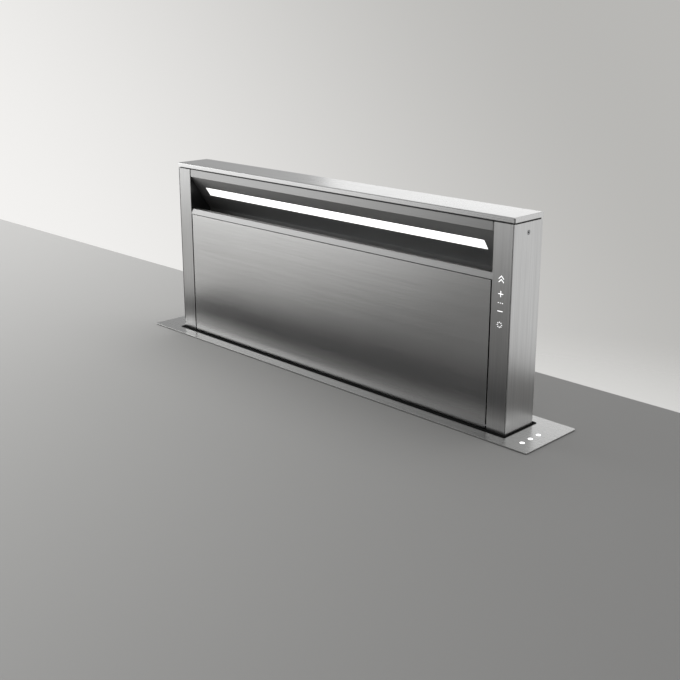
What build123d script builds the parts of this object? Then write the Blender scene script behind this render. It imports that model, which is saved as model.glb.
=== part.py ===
"""Retractable worktop downdraft vent, shown raised.

The origin is the centre of the worktop cut-out, on the worktop's top surface. +Z is up, the front
(the side of the intake and the front panel) faces -Y, and +X is to the right seen from the front.
All sizes are in millimetres.
"""
import os
from math import hypot, pi

from build123d import *

os.makedirs("parts", exist_ok=True)

# ---------------------------------------------------------------- driving dimensions
# worktop flange
flange_reach_side = 57.0  # tower end to the flange's end
flange_reach_face = 29.0  # tower front and back to the flange's edge
flange_sheet = 1.5
flange_corner = 4.0
flange_bevel = 0.3
seal_thickness = 1.0
seal_inset = 1.5
seal_clearance = 7.0  # casing to the seal's inner edge
slot_gap_side = 3.6  # column side to the edge of the slot
slot_gap_face = 7.0  # tower front and back to the edge of the slot
slot_corner = 1.5
lip_thickness = 3.0
lip_width = 4.0  # how far the lip's clamped rim reaches outside the slot
lip_fit = 0.1  # lip's upstand to the slot's edge
lip_proud = 0.8  # how far the upstand shows above the flange
lip_clearance = 0.7  # lip to the cap that passes it
lens_diameter = 7.4
lens_pitch = 20.0
lens_from_slot = 27.6  # slot end to the row of lenses
lens_row_y = -15.5

# tower, as it stands above the worktop
tower_width = 766.0
tower_depth = 67.0
tower_rise = 322.0  # worktop to the top of the cap
tower_below = 100.0  # how far the raised tower still reaches below the worktop
sheet = 1.2  # steel sheet of the tower and the casing
fold_radius = 0.6  # outside of the folds that show
edge_radius = 0.5  # dressed edges of flat sheets
cap_height = 7.4
cap_bend = 2.0  # outside radius of the fold round the cap's top
cap_side_overhang = 0.6
cap_face_overhang = 0.8
cap_shadow_gap = 2.5
cap_corner_slit = 1.7  # open mitre at the corners of the rim
column_width = 34.7
column_seam = 1.0  # front strip to side plate
column_return = 10.0  # folded return at the column's outer edge
rear_return = 20.0  # folded return along the rear panel
panel_side_gap = 2.3
header_height = 13.0
intake_height = 60.2
sill_height = 9.4
sill_lean = 2.5  # how far the sill's face leans back
sill_depth = 12.0
sill_web = 24.9  # height of the sill's inner web
panel_top_gap = 1.2
panel_foot_gap = 1.0  # flange to the panel's lower edge
panel_tray = 8.0  # depth of the panel's folded rim
screw_head_diameter = 7.0
screw_head_sink = 0.1
screw_head_cone = 0.5
screw_socket_radius = 1.2
screw_shank_radius = 1.75
side_screw_below_top = 14.9
screw_length = 3.0
screw_clearance = 0.1
standoff_diameter = 12.0
standoff_from_end = 38.3
plate_slot_pitch = 150.0
plate_slot_length = 60.0
plate_slot_width = 20.0
stiffening_bead = 1.5  # height of the pressed beads in flat sheets
bead_bevel = 3.5  # at the corners of a bead's ends
rear_bead_pitch = 200.0
rear_bead_width = 14.0
rear_bead_margin = 45.0

# light deflector and light
deflector_sheet = 1.0
deflector_reach = 43.8  # how far it slopes back
deflector_drop = 63.9  # how far it slopes down
deflector_lip = 14.0
light_end_gap = 27.6  # column to the light's end
light_width = 18.0
light_down_slope = 32.9  # header edge to the light's middle line, along the slope
light_fit = 0.3
light_rim = 2.0
light_channel_depth = 9.0
light_channel_wall = 2.0
light_channel_fins = 6
light_fin = 1.4
light_fin_height = 3.0
led_pitch = 30.0
led_length = 3.5
led_width = 2.8
led_height = 0.8
board_thickness = 1.6

# front panel
hinge_inset = 4.0  # hinge axis behind the panel's face and above its lower edge
hinge_pin_diameter = 4.0
running_clearance = 0.05  # radial, on every pin and journal
moving_clearance = 0.3  # between bodies that pass each other
fit_clearance = 0.02  # radial, where a pin sits fast
turning_clearance = 0.9  # below the panel's turning edge
hinge_pin_grip = 9.0  # how far a pin reaches into the panel
hinge_pin_reach = 3.6  # how far it reaches past the column's cheek face
stiffener_width = 40.0
stiffener_foot = 8.0
stiffener_height = 5.0
stiffener_end_gap = 46.0
magnet_length = 30.0
magnet_height = 10.0
magnet_from_edge = 96.0  # panel edge to the magnet's middle

# touch board
touch_board_width = 24.0
touch_board_height = 110.0
touch_board_below_sill = 44.5  # sill's top to the board's middle
touch_pad = 7.0
touch_pad_pitch = 22.0
touch_pad_height = 1.2

# grease filters
filter_count = 3
filter_end_gap = 11.3  # column to the outer filter
filter_edge_gap = 17.0  # frame's edge to the filter, above and below
filter_thickness = 7.0
filter_baffles = 7
baffle_gap = 2.2
filter_gap = 4.0
filter_rim = 9.0
filter_recess = 1.6
frame_setback = 16.5  # tower front to the filter frame's foot
frame_shelf = 4.0  # how far the shelf under the frame's foot reaches past it
frame_lap = 4.0  # how far the frame's head stands up behind the deflector's lip
latch_plate = 14.0
latch_length = 42.0
latch_base = 1.0
latch_grip = 3.0
latch_grip_length = 28.0
latch_height = 4.0

# carriage and lift
carriage_height = 20.0
carriage_wall_side = 15.0
carriage_wall_face = 9.0
shoe_height = 16.0
shoe_upper_z = -35.0
shoe_above_foot = 2.0
shoe_bevel = 1.0
rail_wall = 2.0
rail_width = 18.0
rail_depth = 14.0
rail_y = -20.0
rail_top = -8.0
rail_overrun = 25.5  # rail below the lowered tower
belt_pitch = 5.0
pulley_teeth = 16
belt_width = 9.0
belt_thickness = 2.0
belt_y = 16.0
belt_plane_gap = 13.0  # tower side to the belts' middle plane
idler_z = -40.0
shaft_above_foot = 48.0
shaft_diameter = 10.0
shaft_end_gap = 1.0
pitch_line_depth = 0.6  # belt's pitch line above the tips of the teeth
pulley_flange = 1.0
pulley_flange_height = 3.2
groove_depth = 1.1
groove_width = 2.2
idler_pin_diameter = 8.0
idler_collar = 2.0  # how far the pin's collars stand out
idler_pin_head = 1.5
bracket_height = 44.0
bracket_width = 34.0
bracket_plate = 3.0
bracket_corner = 4.0
clamp_height = 24.0
clamp_drop = 2.0
clamp_jaw = 4.0
bearing_length = 7.0
bearing_plate = 2.5
bearing_diameter = 28.0

# lift gearmotor, on the cross shaft
gearbox_length = 34.0
gearbox_height = 46.0
gearbox_depth = 72.0
gearbox_ahead = 19.0  # shaft to the gearbox's middle, towards the front
gearbox_corner = 6.0
gearbox_bevel = 1.8
lift_motor_ahead = 33.0  # shaft to the motor's axis, towards the front
lift_motor_radius = 20.0
lift_motor_length = 88.0
motor_boss_radius = 9.0
motor_boss_length = 6.0
gearmotor_arm_height = 30.0
gearmotor_arm_length = 26.0
gearmotor_foot = 3.0

# casing under the worktop
casing_gap_side = 28.0  # tower side to casing wall
casing_gap_face = 12.5  # tower front and back to casing wall
casing_height = 640.0
casing_rim = 12.0
tray_clearance = 0.2
front_bead_pitch = 180.0
front_bead_length = 130.0
front_bead_width = 10.0
front_bead_z = -110.0
back_beads = 4
back_bead_pitch = 190.0
back_bead_length = 440.0
back_bead_width = 12.0
back_bead_z = -310.0
case_fold = 1.5  # outside radius of the casing's upright folds

# blower
blower_x = -90.0
blower_above_foot = 240.0
impeller_radius = 90.0
blade_depth = 16.0  # radial
impeller_width = 60.0
impeller_plate = 1.5
blade_count = 30
blade_lead = 7.0  # degrees from a blade's inner edge to its outer edge
blade_bow = 1.8
blade_swell = 1.1  # how far the blade's back bows out past its front, along x and y
blade_clearance = 0.5  # blade edges inside the ring's rims
impeller_hub = 22.0
hub_diameter = 20.0
hub_hole_radius = 13.0  # hole in the scroll's back wall round the shaft
shaft_past_hub = 2.0
shaft_in_motor = 30.0
motor_shaft_diameter = 8.0
scroll_step = 14.0  # how much each quarter of the scroll opens out
tongue_gap = 7.0
tongue_radius = 5.0
scroll_wall = 2.5
scroll_depth = 72.0
scroll_outlet_drop = 150.0  # impeller axis to the scroll's outlet
impeller_front_gap = 4.0  # scroll cover to the impeller's ring
bell_clearance = 4.0  # impeller's eye to the bell's bore
bell_lip = 6.0
bell_wall = 1.2
bell_overlap = 3.0  # how far the bell reaches past the impeller's ring
intake_gap = 4.0  # bell mouth to the casing's intake hole
guard_rim = 5.0
guard_bar = 2.0
guard_ring_radius = 42.0  # corners of the six-sided ring between the spokes
guard_clearance = 0.3
motor_diameter = 104.0
motor_length = 50.0
motor_bevel = 5.0
motor_boss = 8.0
motor_boss_diameter = 46.0
motor_vents = 8
motor_vent_width = 5.0
motor_vent_depth = 2.0
motor_vent_margin = 11.0
motor_plate_diameter = 142.0
motor_plate = 3.0
motor_mount_circle = 124.0
motor_mount_height = 6.0
motor_mount_diameter = 14.0
scroll_ribs = 6
scroll_rib_circle = 70.0
scroll_rib_length = 34.0
scroll_rib = 3.0
scroll_rib_height = 2.0

# outlet
duct_diameter = 150.0
collar_wall = 1.6
collar_length = 44.0
adaptor_height = 58.0
adaptor_corner = 8.0  # bevelled corners at the scroll's end
adaptor_wall = 2.5
adaptor_plate = 2.5  # the flat ring between the eight-sided foot and the collar
adaptor_setback = 42.0  # how far the collar stands forward of the scroll's middle
damper_pin_diameter = 4.0
damper_below_adaptor = 14.0
flap_thickness = 1.2
flap_clearance = 0.9
knuckle_wall = 1.5
knuckle_edge_gap = 0.7  # flap's edge to the line through the pin
outer_knuckles = ((-58.0, -34.0), (34.0, 58.0))  # along the pin, from the collar's middle
inner_knuckles = ((-24.0, -4.0), (4.0, 24.0))

# electronics
box_from_end = 151.0  # casing's end wall to the box's middle
box_z = -270.0
box_width = 170.0
box_height = 130.0
box_depth = 48.0
box_wall = 2.0
box_corner = 5.0
boss_radius = 4.0
boss_height = 8.0
boss_inset = 15.0
lid_rim = 8.0
lid_clearance = 0.3
lid_vents = 6
lid_vent_pitch = 9.0
lid_vent_length = 60.0
lid_vent_width = 3.0
board_margin = 8.0
transformer_place = (-45.0, 25.0)  # places are taken from the middle of the board
transformer_size = (36.0, 34.0)
inductor_place = (-45.0, -24.0)
inductor_size = (28.0, 24.0)
relay_place = (10.0, 38.0)
relay_size = (15.0, 19.0)
relay_pitch = 20.0
relay_height = 16.0
terminal_place = (18.0, -46.0)
terminal_size = (78.0, 12.0)
controller_place = (30.0, 0.0)
controller_side = 14.0
terminal_height = 9.0
capacitor_place = (2.0, -10.0)
capacitor_height = 22.0
capacitor_radius = 8.0
gland_diameter = 16.0
gland_bore = 8.0
gland_hex_radius = 11.5
gland_hex = 6.0
gland_nut = 10.0
gland_nut_radius = 9.0
gland_inside = 6.0
gland_bevel = 2.0

# fixings
clamp_reach = 18.0
clamp_plate = 2.0
clamp_width = 30.0
clamp_leg = 44.0
clamp_leg_z = -62.0
clamp_screw_diameter = 5.0
clamp_screw_inset = 10.8  # casing to the screws' line
clamp_screw_reach = 18.0
clamp_head = 4.0
clamp_head_radius = 4.5
clamp_pad_z = -40.0
clamp_pad = 3.0
clamp_pad_radius = 6.0
foot_hole_diameter = 5.5
foot_hole_spacing = 40.0
foot_height = 40.0
foot_width = 60.0

# ---------------------------------------------------------------- derived places
flange_width = tower_width + 2 * flange_reach_side
flange_depth = tower_depth + 2 * flange_reach_face
flange_top = seal_thickness + flange_sheet
half_w = tower_width / 2
half_d = tower_depth / 2
front = -half_d  # the tower's front face
back = half_d
cap_top = tower_rise
cap_foot = cap_top - cap_height
column_top = cap_foot - cap_shadow_gap
header_foot = column_top - header_height
sill_top = header_foot - intake_height
sill_foot = sill_top - sill_height
panel_top = sill_foot - panel_top_gap
panel_foot = flange_top + panel_foot_gap
column_inner = half_w - column_width
strip_edge = half_w - sheet - column_seam  # outer edge of the column's front strip
panel_half = column_inner - panel_side_gap
tower_foot = -tower_below
carriage_top = tower_foot + carriage_height
slot_width = tower_width + 2 * slot_gap_side
slot_depth = tower_depth + 2 * slot_gap_face
cap_width = tower_width + 2 * cap_side_overhang
cap_depth = tower_depth + 2 * cap_face_overhang
top_plate_top = column_top + sheet
cap_ceiling = cap_top - sheet
case_x = half_w + casing_gap_side  # inner face of the casing's end wall
case_y = half_d + casing_gap_face  # inner face of the casing's front and back walls
case_out_x = case_x + sheet
case_out_y = case_y + sheet
case_foot = -casing_height
hinge_y = front + hinge_inset
hinge_z = panel_foot + hinge_inset
lower_plate_top = hinge_z - hypot(hinge_inset, hinge_inset) - turning_clearance
belt_x = half_w + belt_plane_gap
pulley_radius = belt_pitch * pulley_teeth / (2 * pi) - pitch_line_depth  # to the tips of the teeth
belt_inner = pulley_radius + moving_clearance
belt_outer = belt_inner + belt_thickness
flange_radius = pulley_radius + pulley_flange_height
pulley_width = belt_width + 2 * (moving_clearance + pulley_flange)
scroll_front = case_out_y + scroll_wall  # the scroll cover's outer face, as a distance along -Y
scroll_back = scroll_front + scroll_depth
travel = tower_rise - flange_top
rail_bottom = tower_foot - travel - rail_overrun
shaft_z = case_foot + shaft_above_foot
blower_z = case_foot + blower_above_foot
box_x = case_x - box_from_end
impeller_eye = impeller_radius - blade_depth
bell_radius = impeller_eye - bell_clearance
light_length = 2 * (column_inner - light_end_gap)
filter_width = (2 * (column_inner - filter_end_gap) - (filter_count - 1) * filter_gap) / filter_count


def front_plane(distance):
    """A sketch plane that faces the front, at y = -distance, with x to the right and y up."""
    return Plane.XZ.offset(distance)


def side_plane(x):
    """A sketch plane across the tower at x, with its x along +Y and its y up."""
    return Plane.YZ.offset(x)


def finish(part, name):
    """Label a finished piece and write it as its own file."""
    part.label = name
    export_step(part, f"parts/{name}.step")


# ---------------------------------------------------------------- worktop flange and its trim
lens_x = slot_width / 2 + lens_from_slot

with BuildPart() as worktop_flange:
    with BuildSketch(Plane.XY.offset(seal_thickness)):
        RectangleRounded(flange_width, flange_depth, flange_corner)
        RectangleRounded(slot_width, slot_depth, slot_corner, mode=Mode.SUBTRACT)
        with Locations((lens_x, lens_row_y)):
            with GridLocations(0, lens_pitch, 1, 3):
                Circle(lens_diameter / 2 + running_clearance, mode=Mode.SUBTRACT)
    extrude(amount=flange_sheet)
    top_rim = worktop_flange.faces().sort_by(Axis.Z)[-1].outer_wire().edges()
    chamfer(top_rim, length=flange_bevel)
finish(worktop_flange.part, "worktop_flange")

with BuildPart() as flange_seal:
    with BuildSketch():
        RectangleRounded(flange_width - 2 * seal_inset, flange_depth - 2 * seal_inset, flange_corner)
        Rectangle(2 * (case_out_x + seal_clearance), 2 * (case_out_y + seal_clearance), mode=Mode.SUBTRACT)
    extrude(amount=seal_thickness)
finish(flange_seal.part, "flange_seal")

with BuildPart() as slot_lip:
    with BuildSketch(Plane.XY.offset(seal_thickness - lip_thickness)):
        RectangleRounded(slot_width + 2 * lip_width, slot_depth + 2 * lip_width, slot_corner)
        Rectangle(cap_width + 2 * lip_clearance, cap_depth + 2 * lip_clearance, mode=Mode.SUBTRACT)
    extrude(amount=lip_thickness)
    with BuildSketch(Plane.XY.offset(seal_thickness)):
        RectangleRounded(slot_width - 2 * lip_fit, slot_depth - 2 * lip_fit, slot_corner - lip_fit)
        Rectangle(cap_width + 2 * lip_clearance, cap_depth + 2 * lip_clearance, mode=Mode.SUBTRACT)
    extrude(amount=flange_sheet + lip_proud)
finish(slot_lip.part, "slot_lip")

with BuildPart() as indicator_lenses:
    with BuildSketch(Plane.XY.offset(seal_thickness)):
        with Locations((lens_x, lens_row_y)):
            with GridLocations(0, lens_pitch, 1, 3):
                Circle(lens_diameter / 2)
    extrude(amount=flange_sheet)
finish(indicator_lenses.part, "indicator_lenses")

# ---------------------------------------------------------------- cap, columns and side plates
with BuildPart() as top_cap:
    with BuildSketch(Plane.XY.offset(cap_foot)):
        Rectangle(cap_width, cap_depth)
    extrude(amount=cap_height)
    fillet(top_cap.faces().sort_by(Axis.Z)[-1].edges(), radius=cap_bend)
    with BuildSketch(Plane.XY.offset(cap_foot)):
        Rectangle(cap_width - 2 * sheet, cap_depth - 2 * sheet)
        with GridLocations(cap_width, cap_depth, 2, 2):
            Rectangle(2 * cap_corner_slit, 2 * cap_corner_slit)
    extrude(amount=cap_height - sheet, mode=Mode.SUBTRACT)
finish(top_cap.part, "top_cap")

with BuildPart() as top_plate:
    with BuildSketch(Plane.XY.offset(column_top)):
        Rectangle(2 * strip_edge, tower_depth - 2 * sheet)
        with GridLocations(plate_slot_pitch, 0, 4, 1):
            Rectangle(plate_slot_length, plate_slot_width, mode=Mode.SUBTRACT)
    extrude(amount=sheet)
    with BuildSketch(Plane.XY.offset(top_plate_top)):
        with GridLocations(2 * (half_w - standoff_from_end), 0, 2, 1):
            RegularPolygon(standoff_diameter / 2, 6)
        with GridLocations(plate_slot_pitch, 0, 5, 1):
            RegularPolygon(standoff_diameter / 2, 6)
    extrude(amount=cap_ceiling - top_plate_top)
finish(top_plate.part, "top_plate")


def column(side):
    """A column: a folded strip with an inner cheek, a rear return and an outer return."""
    cheek_x = side * column_inner
    edge_x = side * strip_edge
    rear_y = back - sheet
    with BuildPart() as profile:
        with BuildSketch(Plane.XY.offset(carriage_top)):
            with BuildLine():
                Polyline(
                    (edge_x, front + column_return),
                    (edge_x, front),
                    (cheek_x, front),
                    (cheek_x, rear_y),
                    (cheek_x + side * rear_return, rear_y),
                    (cheek_x + side * rear_return, rear_y - sheet),
                    (cheek_x + side * sheet, rear_y - sheet),
                    (cheek_x + side * sheet, front + sheet),
                    (edge_x - side * sheet, front + sheet),
                    (edge_x - side * sheet, front + column_return),
                    close=True,
                )
            make_face()
        extrude(amount=column_top - carriage_top)
        bends = profile.edges().filter_by(Axis.Z).filter_by_position(Axis.Y, front - 0.01, front + 0.01)
        fillet(bends, radius=fold_radius)
        with BuildSketch(side_plane(0)):
            with Locations((hinge_y, hinge_z)):
                Circle(hinge_pin_diameter / 2 + running_clearance)
        extrude(amount=side * (column_inner + 2 * sheet), mode=Mode.SUBTRACT)
    return profile.part


column_left = column(-1)
column_right = column(1)
finish(column_left, "column_left")
finish(column_right, "column_right")


def side_plate(side):
    """The flat plate on the end of the tower, with a countersunk hole for its screw."""
    outer = Plane(origin=(side * half_w, 0, 0), x_dir=(0, side, 0), z_dir=(side, 0, 0))
    with BuildPart() as plate:
        with BuildSketch(outer):
            with Locations((0, (column_top + carriage_top) / 2)):
                Rectangle(tower_depth, column_top - carriage_top)
        extrude(amount=-sheet)
        outer_edges = plate.edges().filter_by(Axis.Z).group_by(Axis.X)[-1 if side > 0 else 0]
        fillet(outer_edges, radius=edge_radius)
        with Locations(outer.location * Location((0, column_top - side_screw_below_top, 0))):
            CounterSinkHole(screw_shank_radius, screw_head_diameter / 2 + screw_clearance, depth=sheet)
    return plate.part


finish(side_plate(-1), "side_plate_left")
finish(side_plate(1), "side_plate_right")

screw_head_radius = screw_head_diameter / 2 - screw_clearance
with BuildPart() as side_screws:
    for side in (-1, 1):
        head_x = side * (half_w - screw_head_sink)
        head_z = column_top - side_screw_below_top
        head_face = Plane(origin=(head_x, 0, head_z), z_dir=(-side, 0, 0))
        with Locations(head_face.offset(screw_head_cone / 2).location):
            Cone(screw_head_radius, screw_head_radius - screw_head_cone, screw_head_cone)
        with BuildSketch(head_face.offset(screw_head_cone)):
            Circle(screw_shank_radius - screw_clearance)
        extrude(amount=screw_length)
        with BuildSketch(head_face):
            RegularPolygon(screw_socket_radius, 6)
        extrude(amount=screw_head_cone, mode=Mode.SUBTRACT)
finish(side_screws.part, "side_screws")

# ---------------------------------------------------------------- header, deflector and light
with BuildPart() as header_fascia:
    with BuildSketch(side_plane(0)):
        with BuildLine():
            Polyline(
                (front, header_foot),
                (front, column_top),
                (front + column_return, column_top),
                (front + column_return, column_top - sheet),
                (front + sheet, column_top - sheet),
                (front + sheet, header_foot),
                close=True,
            )
        make_face()
    extrude(amount=panel_half, both=True)
finish(header_fascia.part, "header_fascia")

slope_y = front + sheet  # where the sloping sheet meets the header
slope_length = hypot(deflector_reach, deflector_drop)
slope_back = deflector_reach / slope_length
slope_down = deflector_drop / slope_length
lip_y = slope_y + deflector_reach
lip_z = header_foot - deflector_drop
light_plane = Plane(
    origin=(
        0,
        slope_y + slope_back * light_down_slope,
        header_foot - slope_down * light_down_slope,
    ),
    x_dir=(1, 0, 0),
    z_dir=(0, -slope_down, -slope_back),
)

with BuildPart() as light_deflector:
    with BuildSketch(side_plane(0)):
        with BuildLine():
            sheet_line = Polyline(
                (slope_y, column_top - sheet),
                (slope_y, header_foot),
                (lip_y, lip_z),
                (lip_y, lip_z - deflector_lip),
            )
            offset(sheet_line, amount=deflector_sheet, side=Side.LEFT)
        make_face()
    extrude(amount=column_inner, both=True)
    with BuildSketch(light_plane):
        Rectangle(light_length + 2 * light_fit, light_width + 2 * light_fit)
    extrude(amount=2 * deflector_sheet, both=True, mode=Mode.SUBTRACT)
finish(light_deflector.part, "light_deflector")

rim_length = light_length + 2 * light_fit + 2 * light_rim
rim_width = light_width + 2 * light_fit + 2 * light_rim
with BuildPart() as light_lens:
    with BuildSketch(light_plane):
        Rectangle(light_length, light_width)
    extrude(amount=-deflector_sheet)
    with BuildSketch(light_plane.offset(-deflector_sheet)):
        Rectangle(rim_length, rim_width)
    extrude(amount=-deflector_sheet)
finish(light_lens.part, "light_lens")

channel_floor = -deflector_sheet - light_channel_depth
with BuildPart() as light_channel:
    with BuildSketch(light_plane.offset(channel_floor)):
        Rectangle(rim_length + 4 * light_channel_wall, rim_width + 2 * light_channel_wall)
    extrude(amount=light_channel_depth)
    with BuildSketch(light_plane.offset(channel_floor + light_channel_wall)):
        Rectangle(rim_length + 2 * light_fit, rim_width + 2 * light_fit)
    extrude(amount=light_channel_depth, mode=Mode.SUBTRACT)
    with BuildSketch(light_plane.offset(channel_floor)):
        with GridLocations(0, rim_width / light_channel_fins, 1, light_channel_fins):
            Rectangle(rim_length, light_fin)
    extrude(amount=-light_fin_height)
finish(light_channel.part, "light_channel")

led_floor = channel_floor + light_channel_wall
led_row = light_length - 2 * light_channel_wall
led_count = int(led_row // led_pitch)
with BuildPart() as light_board:
    with BuildSketch(light_plane.offset(led_floor)):
        Rectangle(led_row, light_width - 4 * light_channel_wall)
    extrude(amount=board_thickness)
    with BuildSketch(light_plane.offset(led_floor + board_thickness)):
        with GridLocations(led_pitch, 0, led_count, 1):
            Rectangle(led_length, led_width)
    extrude(amount=led_height)
finish(light_board.part, "light_board")

# ---------------------------------------------------------------- sill, back and lower front
web_y = front + sill_depth
with BuildPart() as sill_rail:
    with BuildSketch(side_plane(0)):
        with BuildLine():
            Polyline(
                (front, sill_foot),
                (front + sill_lean, sill_top),
                (web_y, sill_top),
                (web_y, sill_top - sill_web),
                (web_y - sheet, sill_top - sill_web),
                (web_y - sheet, sill_top - sheet),
                (front + sill_lean + sheet, sill_top - sheet),
                (front + sheet, sill_foot),
                close=True,
            )
        make_face()
    extrude(amount=column_inner, both=True)
    front_bend = sill_rail.edges().filter_by(Axis.X).group_by(Axis.Z)[-1].sort_by(Axis.Y)[0]
    fillet(front_bend, radius=fold_radius)
finish(sill_rail.part, "sill_rail")

rear_height = column_top - carriage_top
rear_middle = (column_top + carriage_top) / 2
with BuildPart() as rear_panel:
    with BuildSketch(front_plane(-back)):
        with Locations((0, rear_middle)):
            Rectangle(2 * strip_edge, rear_height)
    extrude(amount=sheet)
    with BuildSketch(front_plane(-back + sheet)) as rear_beads:
        with Locations((0, rear_middle)):
            with GridLocations(rear_bead_pitch, 0, 3, 1):
                Rectangle(rear_bead_width, rear_height - 2 * rear_bead_margin)
        chamfer(rear_beads.vertices(), length=bead_bevel)
    extrude(amount=stiffening_bead)
finish(rear_panel.part, "rear_panel")

frame_foot_y = front + frame_setback
shelf_y = frame_foot_y + frame_shelf
with BuildPart() as lower_front_plate:
    with BuildSketch(side_plane(0)):
        with BuildLine():
            Polyline(
                (front, carriage_top),
                (front, lower_plate_top),
                (shelf_y, lower_plate_top),
                (shelf_y, lower_plate_top - sheet),
                (front + sheet, lower_plate_top - sheet),
                (front + sheet, carriage_top),
                close=True,
            )
        make_face()
    extrude(amount=panel_half, both=True)
finish(lower_front_plate.part, "lower_front_plate")

# ---------------------------------------------------------------- grease filters and their frame
frame_foot = (frame_foot_y, lower_plate_top)
frame_head = (lip_y - sheet - moving_clearance, lip_z - deflector_lip + frame_lap)
frame_run = frame_head[0] - frame_foot[0]
frame_rise = frame_head[1] - frame_foot[1]
frame_length = hypot(frame_run, frame_rise)
frame_plane = Plane(
    origin=(0, (frame_head[0] + frame_foot[0]) / 2, (frame_head[1] + frame_foot[1]) / 2),
    x_dir=(1, 0, 0),
    z_dir=(0, -frame_rise / frame_length, frame_run / frame_length),
)
filter_step = filter_width + filter_gap
filter_height = frame_length - 2 * filter_edge_gap
mesh_width = filter_width - 2 * filter_rim
mesh_height = filter_height - 2 * filter_rim
frame_foot_trim = 1.6  # keeps the tilted frame's lower edge off the shelf
with BuildPart() as filter_frame:
    with BuildSketch(frame_plane):
        with Locations((0, frame_foot_trim / 2)):
            Rectangle(2 * column_inner, frame_length - frame_foot_trim)
        with GridLocations(filter_step, 0, filter_count, 1):
            Rectangle(mesh_width, mesh_height, mode=Mode.SUBTRACT)
    extrude(amount=-sheet)
finish(filter_frame.part, "filter_frame")

with BuildPart() as grease_filters:
    with BuildSketch(frame_plane):
        with GridLocations(filter_step, 0, filter_count, 1):
            Rectangle(filter_width, filter_height)
    extrude(amount=filter_thickness)
    with BuildSketch(frame_plane.offset(filter_thickness)):
        with GridLocations(filter_step, 0, filter_count, 1):
            Rectangle(mesh_width, mesh_height)
            with GridLocations(0, mesh_height / (filter_baffles + 1), 1, filter_baffles):
                Rectangle(mesh_width, baffle_gap, mode=Mode.SUBTRACT)
    extrude(amount=-filter_recess, mode=Mode.SUBTRACT)
finish(grease_filters.part, "grease_filters")

latch_middle = filter_height / 2 - filter_rim - latch_plate / 2 + frame_lap / 2
with BuildPart() as filter_latches:
    with BuildSketch(frame_plane.offset(filter_thickness)):
        with Locations((0, latch_middle)):
            with GridLocations(filter_step, 0, filter_count, 1):
                Rectangle(latch_length, latch_plate)
    extrude(amount=latch_base)
    upright = Axis(frame_plane.origin, frame_plane.z_dir)
    chamfer(filter_latches.edges().filter_by(upright), length=latch_grip)
    with BuildSketch(frame_plane.offset(filter_thickness + latch_base)):
        with Locations((0, latch_middle)):
            with GridLocations(filter_step, 0, filter_count, 1):
                Rectangle(latch_grip_length, latch_grip)
    extrude(amount=latch_height)
finish(filter_latches.part, "filter_latches")

# ---------------------------------------------------------------- front panel, hinged at its foot
panel_height = panel_top - panel_foot
panel_middle = (panel_top + panel_foot) / 2
with BuildPart() as front_panel:
    with BuildSketch(front_plane(-front)):
        with Locations((0, panel_middle)):
            Rectangle(2 * panel_half, panel_height)
    extrude(amount=-panel_tray)
    fillet(front_panel.faces().sort_by(Axis.Y)[0].edges(), radius=edge_radius)
    with BuildSketch(front_plane(-front - sheet)):
        with Locations((0, panel_middle)):
            Rectangle(2 * (panel_half - sheet), panel_height - 2 * sheet)
    extrude(amount=-panel_tray, mode=Mode.SUBTRACT)
    with BuildSketch(side_plane(0)):
        with Locations((hinge_y, hinge_z)):
            Circle(hinge_pin_diameter / 2)
    extrude(amount=panel_half + 1, both=True, mode=Mode.SUBTRACT)
finish(front_panel.part, "front_panel")

with BuildPart() as hinge_pins:
    for side in (-1, 1):
        with BuildSketch(side_plane(side * (panel_half - hinge_pin_grip))):
            with Locations((hinge_y, hinge_z)):
                Circle(hinge_pin_diameter / 2)
        extrude(amount=side * (hinge_pin_grip + panel_side_gap + hinge_pin_reach))
finish(hinge_pins.part, "hinge_pins")

# a hat section: two feet on the panel's sheet and a raised web between them
inside = -front - sheet
stiffener_half = stiffener_width / 2
web_half = stiffener_half - stiffener_foot
web_back = -inside + stiffener_height
with BuildPart() as panel_stiffener:
    with BuildSketch(side_plane(0)):
        with BuildLine():
            Polyline(
                (-inside, panel_middle - stiffener_half),
                (-inside, panel_middle - web_half),
                (web_back - sheet, panel_middle - web_half),
                (web_back - sheet, panel_middle + web_half),
                (-inside, panel_middle + web_half),
                (-inside, panel_middle + stiffener_half),
                (-inside + sheet, panel_middle + stiffener_half),
                (-inside + sheet, panel_middle + web_half + sheet),
                (web_back, panel_middle + web_half + sheet),
                (web_back, panel_middle - web_half - sheet),
                (-inside + sheet, panel_middle - web_half - sheet),
                (-inside + sheet, panel_middle - stiffener_half),
                close=True,
            )
        make_face()
    extrude(amount=panel_half - stiffener_end_gap, both=True)
finish(panel_stiffener.part, "panel_stiffener")

magnet_face = inside - moving_clearance
magnet_depth = magnet_face + web_y - sheet
with BuildPart() as panel_magnets:
    with BuildSketch(front_plane(magnet_face)):
        with Locations((0, sill_top - sill_web + magnet_height / 2)):
            with GridLocations(2 * (panel_half - magnet_from_edge), 0, 2, 1):
                Rectangle(magnet_length, magnet_height)
    extrude(amount=-magnet_depth)
finish(panel_magnets.part, "panel_magnets")

# ---------------------------------------------------------------- touch board behind the column
touch_x = (column_inner + strip_edge) / 2
touch_z = sill_top - touch_board_below_sill
with BuildPart() as touch_board:
    with BuildSketch(front_plane(inside)):
        with Locations((touch_x, touch_z)):
            Rectangle(touch_board_width, touch_board_height)
    extrude(amount=-board_thickness)
    with BuildSketch(front_plane(inside - board_thickness)):
        with Locations((touch_x, touch_z)):
            with GridLocations(0, touch_pad_pitch, 1, 5):
                Rectangle(touch_pad, touch_pad)
    extrude(amount=-touch_pad_height)
finish(touch_board.part, "touch_board")

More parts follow.
